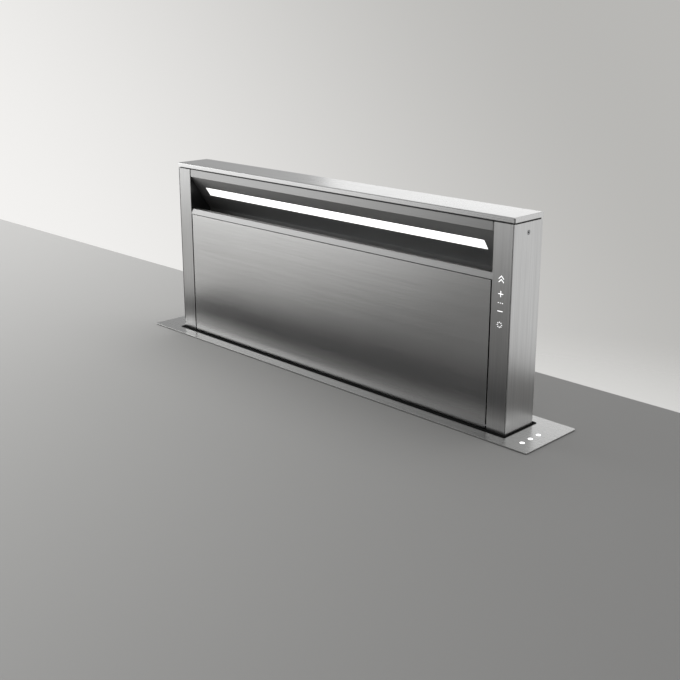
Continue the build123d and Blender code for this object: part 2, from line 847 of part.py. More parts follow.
# ---------------------------------------------------------------- carriage, shoes and rails
with BuildPart() as carriage_frame:
    with BuildSketch(Plane.XY.offset(tower_foot)):
        Rectangle(tower_width, tower_depth)
        Rectangle(
            tower_width - 2 * carriage_wall_side, tower_depth - 2 * carriage_wall_face, mode=Mode.SUBTRACT
        )
    extrude(amount=carriage_height)
    chamfer(carriage_frame.faces().sort_by(Axis.Z)[0].outer_wire().edges(), length=shoe_bevel)
finish(carriage_frame.part, "carriage_frame")

shoe_outer = case_x - rail_wall - moving_clearance
shoe_width = rail_width - 2 * rail_wall - 2 * moving_clearance
with BuildPart() as guide_shoes:
    for shoe_z in (tower_foot + shoe_above_foot, shoe_upper_z):
        with BuildSketch(Plane.XY.offset(shoe_z)):
            with Locations((0, rail_y)):
                with GridLocations(half_w + shoe_outer, 0, 2, 1):
                    Rectangle(shoe_outer - half_w, shoe_width)
        extrude(amount=shoe_height)
    chamfer(guide_shoes.edges().filter_by(Axis.X), length=shoe_bevel)
finish(guide_shoes.part, "guide_shoes")

with BuildPart() as guide_rails:
    with BuildSketch(Plane.XY.offset(rail_bottom)):
        with Locations((0, rail_y)):
            with GridLocations(2 * case_x - rail_depth, 0, 2, 1):
                Rectangle(rail_depth, rail_width)
            with GridLocations(2 * case_x - rail_depth - 2 * rail_wall, 0, 2, 1):
                Rectangle(rail_depth, rail_width - 2 * rail_wall, mode=Mode.SUBTRACT)
    extrude(amount=rail_top - rail_bottom)
finish(guide_rails.part, "guide_rails")

# ---------------------------------------------------------------- belt lift
belt_span = idler_z - shaft_z
belt_middle = (idler_z + shaft_z) / 2
with BuildPart() as drive_belts:
    for side in (-1, 1):
        with BuildSketch(side_plane(side * belt_x - belt_width / 2)):
            with Locations((belt_y, belt_middle)):
                SlotCenterToCenter(belt_span, 2 * belt_outer, rotation=90)
                SlotCenterToCenter(belt_span, 2 * belt_inner, rotation=90, mode=Mode.SUBTRACT)
        extrude(amount=belt_width)
finish(drive_belts.part, "drive_belts")

run_y = belt_y - belt_inner - belt_thickness / 2  # the belt's front run
jaw_gap = belt_thickness / 2 + moving_clearance
clamp_length = belt_plane_gap + belt_width / 2
with BuildPart() as belt_clamps:
    for side in (-1, 1):
        with BuildSketch(Plane.XY.offset(tower_foot - clamp_drop)):
            with Locations((side * (half_w + clamp_length / 2), run_y)):
                Rectangle(clamp_length, 2 * (jaw_gap + clamp_jaw))
            with Locations((side * belt_x, run_y)):
                Rectangle(belt_width + 2 * moving_clearance, 2 * jaw_gap, mode=Mode.SUBTRACT)
        extrude(amount=clamp_height)
finish(belt_clamps.part, "belt_clamps")

with BuildPart() as cross_shaft:
    with BuildSketch(side_plane(-case_x + shaft_end_gap)):
        with Locations((belt_y, shaft_z)):
            Circle(shaft_diameter / 2)
    extrude(amount=2 * (case_x - shaft_end_gap))
finish(cross_shaft.part, "cross_shaft")

pulley_bore = shaft_diameter / 2 + fit_clearance
with BuildPart() as drive_pulleys:
    for side in (-1, 1):
        pulley_face = side * belt_x - pulley_width / 2
        with BuildSketch(side_plane(pulley_face)):
            with Locations((belt_y, shaft_z)):
                Circle(pulley_radius)
                with PolarLocations(pulley_radius, pulley_teeth):
                    Rectangle(2 * groove_depth, groove_width, mode=Mode.SUBTRACT)
                Circle(pulley_bore, mode=Mode.SUBTRACT)
        extrude(amount=pulley_width)
        # one rim, on the side of the tower; the idlers' two rims guide the belt
        with BuildSketch(side_plane(side * (belt_x - pulley_width / 2))):
            with Locations((belt_y, shaft_z)):
                Circle(flange_radius)
                Circle(pulley_bore, mode=Mode.SUBTRACT)
        extrude(amount=side * pulley_flange)
finish(drive_pulleys.part, "drive_pulleys")


def idler_pulley(side):
    """A smooth idler pulley with two rims, bored to run on its pin."""
    pulley_face = side * belt_x - pulley_width / 2
    bore = idler_pin_diameter / 2 + running_clearance
    with BuildPart() as pulley:
        with BuildSketch(side_plane(pulley_face)):
            with Locations((belt_y, idler_z)):
                Circle(pulley_radius)
                Circle(bore, mode=Mode.SUBTRACT)
        extrude(amount=pulley_width)
        for rim_x in (pulley_face, pulley_face + pulley_width - pulley_flange):
            with BuildSketch(side_plane(rim_x)):
                with Locations((belt_y, idler_z)):
                    Circle(flange_radius)
                    Circle(bore, mode=Mode.SUBTRACT)
            extrude(amount=pulley_flange)
    return pulley.part


finish(idler_pulley(-1), "idler_pulley_left")
finish(idler_pulley(1), "idler_pulley_right")

pin_inner = belt_x - pulley_width / 2 - moving_clearance
pin_outer = belt_x + pulley_width / 2 + moving_clearance
with BuildPart() as idler_brackets:
    for side in (-1, 1):
        with BuildSketch(side_plane(side * case_x)) as plate_outline:
            with Locations((belt_y, idler_z)):
                Rectangle(bracket_width, bracket_height)
            chamfer(plate_outline.vertices(), length=bracket_corner)
        extrude(amount=-side * bracket_plate)
        with BuildSketch(side_plane(side * case_x)):
            with Locations((belt_y, idler_z)):
                Circle(idler_pin_diameter / 2)
        extrude(amount=-side * (case_x - pin_inner))
        with BuildSketch(side_plane(side * pin_inner)):
            with Locations((belt_y, idler_z)):
                RegularPolygon(idler_pin_diameter / 2 + idler_collar, 6)
        extrude(amount=-side * idler_pin_head)
        with BuildSketch(side_plane(side * pin_outer)):
            with Locations((belt_y, idler_z)):
                RegularPolygon(idler_pin_diameter / 2 + idler_collar, 6)
        extrude(amount=side * (case_x - pin_outer))
finish(idler_brackets.part, "idler_brackets")

with BuildPart() as shaft_bearings:
    for side in (-1, 1):
        with BuildSketch(side_plane(side * case_x)) as plate_outline:
            with Locations((belt_y, shaft_z)):
                Rectangle(bracket_height, bracket_width)
            chamfer(plate_outline.vertices(), length=bracket_corner)
            with Locations((belt_y, shaft_z)):
                Circle(shaft_diameter / 2 + running_clearance, mode=Mode.SUBTRACT)
        extrude(amount=-side * bearing_plate)
        with BuildSketch(side_plane(side * case_x)):
            with Locations((belt_y, shaft_z)):
                Circle(bearing_diameter / 2)
                Circle(shaft_diameter / 2 + running_clearance, mode=Mode.SUBTRACT)
        extrude(amount=-side * bearing_length)
finish(shaft_bearings.part, "shaft_bearings")

motor_y = belt_y - lift_motor_ahead
with BuildPart() as lift_gearmotor:
    with BuildSketch(side_plane(-gearbox_length)):
        with Locations((belt_y - gearbox_ahead, shaft_z)):
            RectangleRounded(gearbox_depth, gearbox_height, gearbox_corner)
    extrude(amount=gearbox_length)
    chamfer(lift_gearmotor.faces().sort_by(Axis.X)[-1].edges(), length=gearbox_bevel)
    with BuildSketch(side_plane(-gearbox_length)):
        with Locations((motor_y, shaft_z)):
            Circle(lift_motor_radius)
    extrude(amount=-lift_motor_length)
    with BuildSketch(side_plane(-gearbox_length - lift_motor_length)):
        with Locations((motor_y, shaft_z)):
            Circle(motor_boss_radius)
    extrude(amount=-motor_boss_length)
    with BuildSketch(side_plane(-(gearbox_length + gearmotor_arm_length) / 2)):
        with Locations(((belt_y + case_y) / 2, shaft_z)):
            Rectangle(case_y - belt_y, gearmotor_arm_height)
        with Locations((case_y - gearmotor_foot / 2, shaft_z)):
            Rectangle(gearmotor_foot, gearbox_height)
    extrude(amount=gearmotor_arm_length)
    with BuildSketch(side_plane(-gearbox_length)):
        with Locations((belt_y, shaft_z)):
            Circle(shaft_diameter / 2 + running_clearance)
    extrude(amount=gearbox_length, mode=Mode.SUBTRACT)
finish(lift_gearmotor.part, "lift_gearmotor")

# ---------------------------------------------------------------- casing
case_top = seal_thickness
case_span = case_top - case_foot
with BuildPart() as casing_back:
    with BuildSketch(Plane.XY.offset(case_foot)):
        with BuildLine():
            Polyline(
                (-case_out_x, -case_y),
                (-case_out_x, case_out_y),
                (case_out_x, case_out_y),
                (case_out_x, -case_y),
                (case_x, -case_y),
                (case_x, case_y),
                (-case_x, case_y),
                (-case_x, -case_y),
                close=True,
            )
        make_face()
    extrude(amount=case_span)
    upright_folds = casing_back.edges().filter_by(Axis.Z).group_by(Axis.Y)[-1]
    fillet(upright_folds, radius=case_fold)
    with BuildSketch(front_plane(-case_out_y)) as wall_beads:
        with Locations((0, back_bead_z)):
            with GridLocations(back_bead_pitch, 0, back_beads, 1):
                Rectangle(back_bead_width, back_bead_length)
        chamfer(wall_beads.vertices(), length=bead_bevel)
    extrude(amount=-stiffening_bead)
finish(casing_back.part, "casing_back")

intake_radius = bell_radius + bell_lip + intake_gap
with BuildPart() as casing_front:
    with BuildSketch(front_plane(case_y)):
        with Locations((0, (case_top + case_foot) / 2)):
            Rectangle(2 * case_out_x, case_span)
        with Locations((blower_x, blower_z)):
            Circle(intake_radius, mode=Mode.SUBTRACT)
    extrude(amount=sheet)
    with BuildSketch(front_plane(case_y + sheet)) as wall_beads:
        with Locations((0, front_bead_z)):
            with GridLocations(front_bead_pitch, 0, 3, 1):
                Rectangle(front_bead_width, front_bead_length)
        chamfer(wall_beads.vertices(), length=bead_bevel)
    extrude(amount=stiffening_bead)
finish(casing_front.part, "casing_front")

tray_x = case_x - tray_clearance
tray_y = case_y - tray_clearance
with BuildPart() as casing_bottom:
    with BuildSketch(Plane.XY.offset(case_foot)):
        Rectangle(2 * tray_x, 2 * tray_y)
    extrude(amount=casing_rim)
    with BuildSketch(Plane.XY.offset(case_foot + sheet)):
        Rectangle(2 * (tray_x - sheet), 2 * (tray_y - sheet))
    extrude(amount=casing_rim, mode=Mode.SUBTRACT)
finish(casing_bottom.part, "casing_bottom")

# ---------------------------------------------------------------- scroll housing and impeller
half_step = scroll_step / 2
r_right = impeller_radius + tongue_gap + half_step
r_top = r_right + scroll_step
r_left = r_top + scroll_step
outlet_left = -half_step - r_left
outlet_right = half_step
outlet_width = outlet_right - outlet_left
outlet_z = blower_z - scroll_outlet_drop
scroll_middle = (scroll_front + scroll_back) / 2

# the air space: three quarter arcs that open out by the same step, then the straight outlet
with BuildSketch() as scroll_air:
    with BuildLine():
        CenterArc((half_step, half_step), r_right, 270, 90)
        CenterArc((-half_step, half_step), r_top, 0, 90)
        CenterArc((-half_step, -half_step), r_left, 90, 90)
        Polyline(
            (outlet_left, -half_step),
            (outlet_left, -scroll_outlet_drop),
            (outlet_right, -scroll_outlet_drop),
            (outlet_right, half_step - r_right),
        )
    make_face()
    tongue = scroll_air.vertices().sort_by_distance((outlet_right, half_step - r_right))[0]
    fillet(tongue, radius=tongue_radius)
air_face = scroll_air.sketch

with BuildPart() as scroll_housing:
    with BuildSketch(front_plane(scroll_front)):
        with Locations((blower_x, blower_z)):
            add(air_face)
        offset(amount=scroll_wall)
    extrude(amount=scroll_depth + scroll_wall)
    with BuildSketch(front_plane(scroll_front)):
        with Locations((blower_x, blower_z)):
            add(air_face)
    extrude(amount=scroll_depth, mode=Mode.SUBTRACT)
    with BuildSketch(front_plane(scroll_front)):
        with Locations((blower_x, blower_z - scroll_outlet_drop)):
            with Locations(((outlet_left + outlet_right) / 2, 0)):
                Rectangle(outlet_width, 4 * scroll_wall)
    extrude(amount=scroll_depth, mode=Mode.SUBTRACT)
    with BuildSketch(front_plane(scroll_back)):
        with Locations((blower_x, blower_z)):
            Circle(hub_hole_radius)
    extrude(amount=scroll_wall, mode=Mode.SUBTRACT)
    with BuildSketch(front_plane(scroll_back + scroll_wall)):
        with Locations((blower_x, blower_z)):
            with PolarLocations(scroll_rib_circle, scroll_ribs):
                Rectangle(scroll_rib_length, scroll_rib)
    extrude(amount=scroll_rib_height)
finish(scroll_housing.part, "scroll_housing")

bell_x = blower_x + bell_radius
bell_mouth = case_out_y
bell_end = scroll_front + impeller_front_gap + bell_overlap
with BuildPart() as scroll_cover:
    with BuildSketch(front_plane(case_out_y)):
        with Locations((blower_x, blower_z)):
            add(air_face)
        offset(amount=scroll_wall)
        with Locations((blower_x, blower_z)):
            Circle(bell_radius + bell_lip, mode=Mode.SUBTRACT)
    extrude(amount=scroll_wall)
    with BuildSketch(Plane.XY.offset(blower_z)):
        with BuildLine():
            Polyline(
                (bell_x + bell_lip, -bell_mouth),
                (bell_x + bell_lip, -bell_mouth - scroll_wall),
                (bell_x + bell_wall, -bell_mouth - scroll_wall),
                (bell_x + bell_wall, -bell_end),
                (bell_x, -bell_end),
                (bell_x, -bell_mouth - scroll_wall),
                (bell_x + bell_lip / 2, -bell_mouth),
                close=True,
            )
        make_face()
    revolve(axis=Axis((blower_x, 0, blower_z), (0, 1, 0)))
finish(scroll_cover.part, "scroll_cover")

guard_inner = intake_radius - guard_rim
with BuildPart() as inlet_guard:
    with BuildSketch(front_plane(case_y)):
        with Locations((blower_x, blower_z)):
            Circle(intake_radius - guard_clearance)
            Circle(guard_inner, mode=Mode.SUBTRACT)
            RegularPolygon(guard_ring_radius, 6)
            RegularPolygon(guard_ring_radius - guard_bar, 6, mode=Mode.SUBTRACT)
            with PolarLocations(0, 3):
                Rectangle(2 * guard_inner + guard_rim / 2, guard_bar)
    extrude(amount=sheet)
finish(inlet_guard.part, "inlet_guard")

ring_face = scroll_front + impeller_front_gap
disc_face = ring_face + impeller_width
blade_inner = Vector(impeller_eye + blade_clearance, 0)
blade_outer = Vector(impeller_radius - blade_clearance, 0).rotate(Axis.Z, blade_lead)
blade_crown = (blade_inner + blade_outer) / 2 + Vector(blade_bow, -blade_bow / 2)
blade_offset = Vector(blade_swell, -blade_swell)

# one blade: two arcs between its edges, bowed forward, the outer one by the blade's thickness more
with BuildSketch() as blade:
    with BuildLine():
        ThreePointArc(blade_inner, blade_crown, blade_outer)
        ThreePointArc(blade_outer, blade_crown + blade_offset, blade_inner)
    make_face()

hub_bore = motor_shaft_diameter / 2 + fit_clearance
hub_front = disc_face - impeller_plate - impeller_hub
with BuildPart() as fan_impeller:
    with BuildSketch(front_plane(disc_face - impeller_plate)):
        with Locations((blower_x, blower_z)):
            Circle(impeller_radius)
            Circle(hub_bore, mode=Mode.SUBTRACT)
    extrude(amount=impeller_plate)
    with BuildSketch(front_plane(ring_face)):
        with Locations((blower_x, blower_z)):
            Circle(impeller_radius)
            Circle(impeller_eye, mode=Mode.SUBTRACT)
    extrude(amount=impeller_plate)
    with BuildSketch(front_plane(hub_front)):
        with Locations((blower_x, blower_z)):
            Circle(hub_diameter / 2)
            Circle(hub_bore, mode=Mode.SUBTRACT)
    extrude(amount=impeller_hub)
    with BuildSketch(front_plane(ring_face + impeller_plate / 2)):
        with Locations((blower_x, blower_z)):
            with PolarLocations(0, blade_count):
                add(blade.sketch)
    extrude(amount=impeller_width - impeller_plate)
finish(fan_impeller.part, "fan_impeller")

motor_face = scroll_back + scroll_wall + motor_mount_height
shaft_front = hub_front - shaft_past_hub
with BuildPart() as motor_shaft:
    with BuildSketch(front_plane(shaft_front)):
        with Locations((blower_x, blower_z)):
            Circle(motor_shaft_diameter / 2)
    extrude(amount=motor_face + shaft_in_motor - shaft_front)
finish(motor_shaft.part, "motor_shaft")

with BuildPart() as blower_motor:
    with BuildSketch(front_plane(motor_face)):
        with Locations((blower_x, blower_z)):
            Circle(motor_diameter / 2)
    extrude(amount=motor_length)
    chamfer(blower_motor.faces().sort_by(Axis.Y)[0].edges(), length=motor_bevel)
    with BuildSketch(front_plane(motor_face)):
        with Locations((blower_x, blower_z)):
            Circle(motor_plate_diameter / 2)
    extrude(amount=motor_plate)
    with BuildSketch(front_plane(motor_face + motor_length)):
        with Locations((blower_x, blower_z)):
            Circle(motor_boss_diameter / 2)
    extrude(amount=motor_boss)
    with BuildSketch(front_plane(motor_face + motor_plate + motor_vent_margin)):
        with Locations((blower_x, blower_z)):
            with PolarLocations(motor_diameter / 2, motor_vents):
                Rectangle(2 * motor_vent_depth, motor_vent_width)
    extrude(amount=motor_length - motor_plate - 2 * motor_vent_margin, mode=Mode.SUBTRACT)
    with BuildSketch(front_plane(motor_face)):
        with Locations((blower_x, blower_z)):
            Circle(motor_shaft_diameter / 2 + running_clearance)
    extrude(amount=shaft_in_motor + moving_clearance, mode=Mode.SUBTRACT)
finish(blower_motor.part, "blower_motor")

with BuildPart() as motor_mounts:
    with BuildSketch(front_plane(scroll_back + scroll_wall)):
        with Locations((blower_x, blower_z)):
            with PolarLocations(motor_mount_circle / 2, 3, start_angle=30):
                Circle(motor_mount_diameter / 2)
    extrude(amount=motor_mount_height)
finish(motor_mounts.part, "motor_mounts")

# ---------------------------------------------------------------- outlet adaptor and damper
collar_x = blower_x + (outlet_left + outlet_right) / 2
collar_y = -(scroll_middle + adaptor_setback)
adaptor_top = outlet_z - scroll_wall
adaptor_foot = adaptor_top - adaptor_height
collar_outer = duct_diameter / 2
collar_inner = collar_outer - collar_wall
pin_z = adaptor_foot - damper_below_adaptor
foot_half = collar_outer + adaptor_plate


def hopper(inset, foot_z):
    """The tapered body from the scroll's outlet down to foot_z, drawn in by inset on every side."""
    head_x = outlet_width / 2 + scroll_wall - inset
    head_y = scroll_depth / 2 + scroll_wall - inset
    foot = foot_half - inset
    with BuildPart() as body:
        with BuildSketch(front_plane(0)):
            with BuildLine():
                Polyline(
                    (collar_x - head_x, adaptor_top),
                    (collar_x + head_x, adaptor_top),
                    (collar_x + foot, foot_z),
                    (collar_x - foot, foot_z),
                    close=True,
                )
            make_face()
        extrude(amount=-collar_y + 2 * foot_half)
        with BuildSketch(side_plane(collar_x)):
            with BuildLine():
                Polyline(
                    (-scroll_middle - head_y, adaptor_top),
                    (-scroll_middle + head_y, adaptor_top),
                    (collar_y + foot, foot_z),
                    (collar_y - foot, foot_z),
                    close=True,
                )
            make_face()
        extrude(amount=2 * foot_half, both=True, mode=Mode.INTERSECT)
        level = body.edges().filter_by(Plane.XY)
        chamfer(body.edges() - level, length=adaptor_corner)
    return body.part


outer_hopper = hopper(0, adaptor_foot)
inner_hopper = hopper(adaptor_wall, adaptor_foot + adaptor_plate)
with BuildPart() as outlet_adaptor:
    add(outer_hopper)
    add(inner_hopper, mode=Mode.SUBTRACT)
    with BuildSketch(Plane.XY.offset(adaptor_foot)):
        with Locations((collar_x, collar_y)):
            Circle(collar_outer)
    extrude(amount=-collar_length)
    with BuildSketch(Plane.XY.offset(adaptor_foot + adaptor_plate)):
        with Locations((collar_x, collar_y)):
            Circle(collar_inner)
    extrude(amount=-collar_length - adaptor_plate, mode=Mode.SUBTRACT)
    with BuildSketch(front_plane(-collar_y - collar_outer)):
        with Locations((collar_x, pin_z)):
            Circle(damper_pin_diameter / 2 + fit_clearance)
    extrude(amount=duct_diameter, mode=Mode.SUBTRACT)
finish(outlet_adaptor.part, "outlet_adaptor")

with BuildPart() as damper_pin:
    with BuildSketch(front_plane(-collar_y - collar_outer)):
        with Locations((collar_x, pin_z)):
            Circle(damper_pin_diameter / 2)
    extrude(amount=duct_diameter)
finish(damper_pin.part, "damper_pin")

knuckle_bore = damper_pin_diameter / 2 + running_clearance
knuckle_outer = knuckle_bore + knuckle_wall
flap_radius = collar_inner - flap_clearance


def damper_flap(side, knuckle_spans):
    """Half of the round damper, with knuckles that turn on the pin across the collar."""
    with BuildPart() as flap:
        with BuildSketch(Plane.XY.offset(pin_z - flap_thickness / 2)):
            with Locations((collar_x, collar_y)):
                Circle(flap_radius)
                with Locations((-side * (flap_radius - knuckle_outer - knuckle_edge_gap), 0)):
                    Rectangle(2 * flap_radius, 2 * collar_outer, mode=Mode.SUBTRACT)
                for low, high in knuckle_spans:
                    with Locations((side * knuckle_outer, (low + high) / 2)):
                        Rectangle(2 * knuckle_outer, high - low)
        extrude(amount=flap_thickness)
        for low, high in knuckle_spans:
            with BuildSketch(front_plane(-collar_y - high)):
                with Locations((collar_x, pin_z)):
                    Circle(knuckle_outer)
            extrude(amount=high - low)
        with BuildSketch(front_plane(-collar_y - collar_outer)):
            with Locations((collar_x, pin_z)):
                Circle(knuckle_bore)
        extrude(amount=duct_diameter, mode=Mode.SUBTRACT)
    return flap.part


finish(damper_flap(-1, outer_knuckles), "damper_flap_left")
finish(damper_flap(1, inner_knuckles), "damper_flap_right")

# ---------------------------------------------------------------- electronics box
box_face = case_out_y
lid_face = box_face + box_depth
gland_y = -box_face - box_depth / 2
gland_top = box_z - box_height / 2
with BuildPart() as electronics_box:
    with BuildSketch(front_plane(box_face)):
        with Locations((box_x, box_z)):
            RectangleRounded(box_width, box_height, box_corner)
    extrude(amount=box_depth)
    with BuildSketch(front_plane(box_face + box_wall)):
        with Locations((box_x, box_z)):
            RectangleRounded(box_width - 2 * box_wall, box_height - 2 * box_wall, box_corner - box_wall)
    extrude(amount=box_depth, mode=Mode.SUBTRACT)
    with BuildSketch(front_plane(box_face + box_wall)):
        with Locations((box_x, box_z)):
            with GridLocations(box_width - 2 * boss_inset, box_height - 2 * boss_inset, 2, 2):
                RegularPolygon(boss_radius, 6)
    extrude(amount=boss_height)
    with BuildSketch(Plane.XY.offset(gland_top)):
        with Locations((box_x, gland_y)):
            Circle(gland_diameter / 2 + running_clearance)
    extrude(amount=box_wall, mode=Mode.SUBTRACT)
finish(electronics_box.part, "electronics_box")

rim_outer_width = box_width - 2 * (box_wall + lid_clearance)
rim_outer_height = box_height - 2 * (box_wall + lid_clearance)
with BuildPart() as electronics_lid:
    with BuildSketch(front_plane(lid_face)):
        with Locations((box_x, box_z)):
            RectangleRounded(box_width, box_height, box_corner)
    extrude(amount=box_wall)
    with BuildSketch(front_plane(lid_face)) as lid_ring:
        with Locations((box_x, box_z)):
            Rectangle(rim_outer_width, rim_outer_height)
        chamfer(lid_ring.vertices(), length=box_wall)
        with Locations((box_x, box_z)):
            Rectangle(rim_outer_width - 2 * box_wall, rim_outer_height - 2 * box_wall, mode=Mode.SUBTRACT)
    extrude(amount=-lid_rim)
    with BuildSketch(front_plane(lid_face + box_wall)):
        with Locations((box_x, box_z)):
            with GridLocations(0, lid_vent_pitch, 1, lid_vents):
                Rectangle(lid_vent_length, lid_vent_width)
    extrude(amount=-box_wall, mode=Mode.SUBTRACT)
finish(electronics_lid.part, "electronics_lid")

board_face = box_face + box_wall + boss_height
parts_face = board_face + board_thickness


def on_board(place):
    """A place on the control board, taken from the board's middle."""
    return (box_x + place[0], box_z + place[1])


with BuildPart() as control_board:
    with BuildSketch(front_plane(board_face)):
        with Locations((box_x, box_z)):
            Rectangle(box_width - 2 * board_margin, box_height - 2 * board_margin)
    extrude(amount=board_thickness)
    # the transformer, the power supply's inductor and three relays
    with BuildSketch(front_plane(parts_face)):
        with Locations(on_board(transformer_place)):
            Rectangle(*transformer_size)
        with Locations(on_board(inductor_place)):
            Rectangle(*inductor_size)
        with Locations(on_board(relay_place)):
            with GridLocations(relay_pitch, 0, 3, 1):
                Rectangle(*relay_size)
    extrude(amount=relay_height)
    # the terminal strip and the controller
    with BuildSketch(front_plane(parts_face)):
        with Locations(on_board(terminal_place)):
            Rectangle(*terminal_size)
        with Locations(on_board(controller_place)):
            Rectangle(controller_side, controller_side)
    extrude(amount=terminal_height)
    # the supply's capacitor
    with BuildSketch(front_plane(parts_face)):
        with Locations(on_board(capacitor_place)):
            Circle(capacitor_radius)
    extrude(amount=capacitor_height)
finish(control_board.part, "control_board")

gland_foot = gland_top - gland_hex - gland_nut
with BuildPart() as cable_gland:
    with BuildSketch(Plane.XY.offset(gland_top)):
        with Locations((box_x, gland_y)):
            RegularPolygon(gland_hex_radius, 6)
    extrude(amount=-gland_hex)
    with BuildSketch(Plane.XY.offset(gland_top - gland_hex)):
        with Locations((box_x, gland_y)):
            Circle(gland_nut_radius)
    extrude(amount=-gland_nut)
    chamfer(cable_gland.faces().sort_by(Axis.Z)[0].edges(), length=gland_bevel)
    with BuildSketch(Plane.XY.offset(gland_top)):
        with Locations((box_x, gland_y)):
            Circle(gland_diameter / 2)
    extrude(amount=box_wall + gland_inside)
    with BuildSketch(Plane.XY.offset(gland_foot)):
        with Locations((box_x, gland_y)):
            Circle(gland_bore / 2)
    extrude(amount=gland_nut + gland_hex + box_wall + gland_inside, mode=Mode.SUBTRACT)
finish(cable_gland.part, "cable_gland")

# ---------------------------------------------------------------- fixings
screw_line = case_out_x + clamp_screw_inset
clamp_x = case_out_x + clamp_reach / 2
leg_x = case_out_x + clamp_plate / 2
with BuildPart() as worktop_clamps:
    for side in (-1, 1):
        with BuildSketch(front_plane(0)):
            with Locations((side * leg_x, clamp_leg_z + clamp_leg / 2)):
                Rectangle(clamp_plate, clamp_leg)
            with Locations((side * clamp_x, clamp_leg_z + clamp_plate / 2)):
                Rectangle(clamp_reach, clamp_plate)
        extrude(amount=clamp_width / 2, both=True)
        with BuildSketch(Plane.XY.offset(clamp_leg_z)):
            with Locations((side * screw_line, 0)):
                Circle(clamp_screw_diameter / 2 + fit_clearance)
        extrude(amount=clamp_plate, mode=Mode.SUBTRACT)
finish(worktop_clamps.part, "worktop_clamps")

screw_foot = clamp_leg_z - clamp_screw_reach
with BuildPart() as clamp_screws:
    for side in (-1, 1):
        with BuildSketch(Plane.XY.offset(screw_foot)):
            with Locations((side * screw_line, 0)):
                Circle(clamp_screw_diameter / 2)
        extrude(amount=clamp_pad_z - screw_foot)
        with BuildSketch(Plane.XY.offset(clamp_pad_z - clamp_pad)):
            with Locations((side * screw_line, 0)):
                Circle(clamp_pad_radius)
        extrude(amount=clamp_pad)
        with BuildSketch(Plane.XY.offset(screw_foot)):
            with Locations((side * screw_line, 0)):
                RegularPolygon(clamp_head_radius, 6)
        extrude(amount=-clamp_head)
finish(clamp_screws.part, "clamp_screws")

with BuildPart() as support_brackets:
    for side in (-1, 1):
        with BuildSketch(front_plane(0)):
            with Locations((side * leg_x, case_foot + foot_height / 2)):
                Rectangle(clamp_plate, foot_height)
            with Locations((side * clamp_x, case_foot + clamp_plate / 2)):
                Rectangle(clamp_reach, clamp_plate)
        extrude(amount=foot_width / 2, both=True)
    with BuildSketch(Plane.XY.offset(case_foot)):
        with GridLocations(2 * screw_line, foot_hole_spacing, 2, 2):
            Circle(foot_hole_diameter / 2)
    extrude(amount=clamp_plate, mode=Mode.SUBTRACT)
finish(support_brackets.part, "support_brackets")

belt_ratio = 2 * pi / (belt_pitch * pulley_teeth / 1000)
print(f"lift travel {travel:.1f} mm, belt ratio {belt_ratio:.3f} rad/m")
print(f"hinge axis y {hinge_y:.2f} z {hinge_z:.2f}")
print(f"shaft y {belt_y:.2f} z {shaft_z:.2f}, idler z {idler_z:.2f}")
print(f"blower axis x {blower_x:.2f} z {blower_z:.2f}")
print(f"damper x {collar_x:.2f} y {collar_y:.2f} z {pin_z:.2f}")
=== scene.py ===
"""Looks of a retractable worktop downdraft vent, on the frame packed from its CAD.

Lengths are in metres and angles in degrees. The frame's origin is the centre of the worktop
cut-out on the worktop's top, +Z is up and the front faces -Y. The script dresses every CAD node
in a procedural finish, adds the pieces that the CAD leaves out, and sets a plain studio round them.
"""
import logging
from abc import ABC, abstractmethod
from dataclasses import dataclass
from enum import Enum
from functools import lru_cache
from math import cos, pi, radians, sin
from typing import ClassVar, Mapping, Optional, Sequence, Union

import bmesh
import bpy
import numpy as np
from mathutils import Euler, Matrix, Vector


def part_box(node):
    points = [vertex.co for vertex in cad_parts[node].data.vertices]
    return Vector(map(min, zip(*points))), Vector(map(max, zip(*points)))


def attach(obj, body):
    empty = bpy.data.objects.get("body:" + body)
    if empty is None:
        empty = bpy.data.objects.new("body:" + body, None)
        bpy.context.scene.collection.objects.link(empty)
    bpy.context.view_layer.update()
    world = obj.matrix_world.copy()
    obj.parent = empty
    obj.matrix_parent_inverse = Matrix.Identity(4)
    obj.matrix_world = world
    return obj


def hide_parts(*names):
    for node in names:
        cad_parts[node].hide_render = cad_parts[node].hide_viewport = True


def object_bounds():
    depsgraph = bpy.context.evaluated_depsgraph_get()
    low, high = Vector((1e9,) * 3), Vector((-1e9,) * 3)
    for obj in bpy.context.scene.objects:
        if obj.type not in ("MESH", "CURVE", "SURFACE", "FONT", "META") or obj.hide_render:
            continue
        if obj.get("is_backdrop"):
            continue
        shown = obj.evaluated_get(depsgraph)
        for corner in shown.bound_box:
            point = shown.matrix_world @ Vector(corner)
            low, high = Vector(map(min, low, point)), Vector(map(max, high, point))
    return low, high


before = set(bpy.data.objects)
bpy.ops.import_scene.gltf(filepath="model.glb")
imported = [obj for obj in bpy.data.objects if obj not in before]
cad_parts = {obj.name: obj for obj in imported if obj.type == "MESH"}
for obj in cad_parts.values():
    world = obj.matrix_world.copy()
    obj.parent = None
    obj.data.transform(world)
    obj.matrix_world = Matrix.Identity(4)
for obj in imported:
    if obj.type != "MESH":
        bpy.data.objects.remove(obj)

log = logging.getLogger("vent")
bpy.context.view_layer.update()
MM = 0.001
OPAQUE = 1.0

Socket = bpy.types.NodeSocket
Colour = tuple[float, float, float]
Span = tuple[float, float]
Cells = Union[float, tuple[float, ...]]  # noise cells per metre, for all axes or for each
Operand = Union["Field", float]
Sockets = dict[str, object]


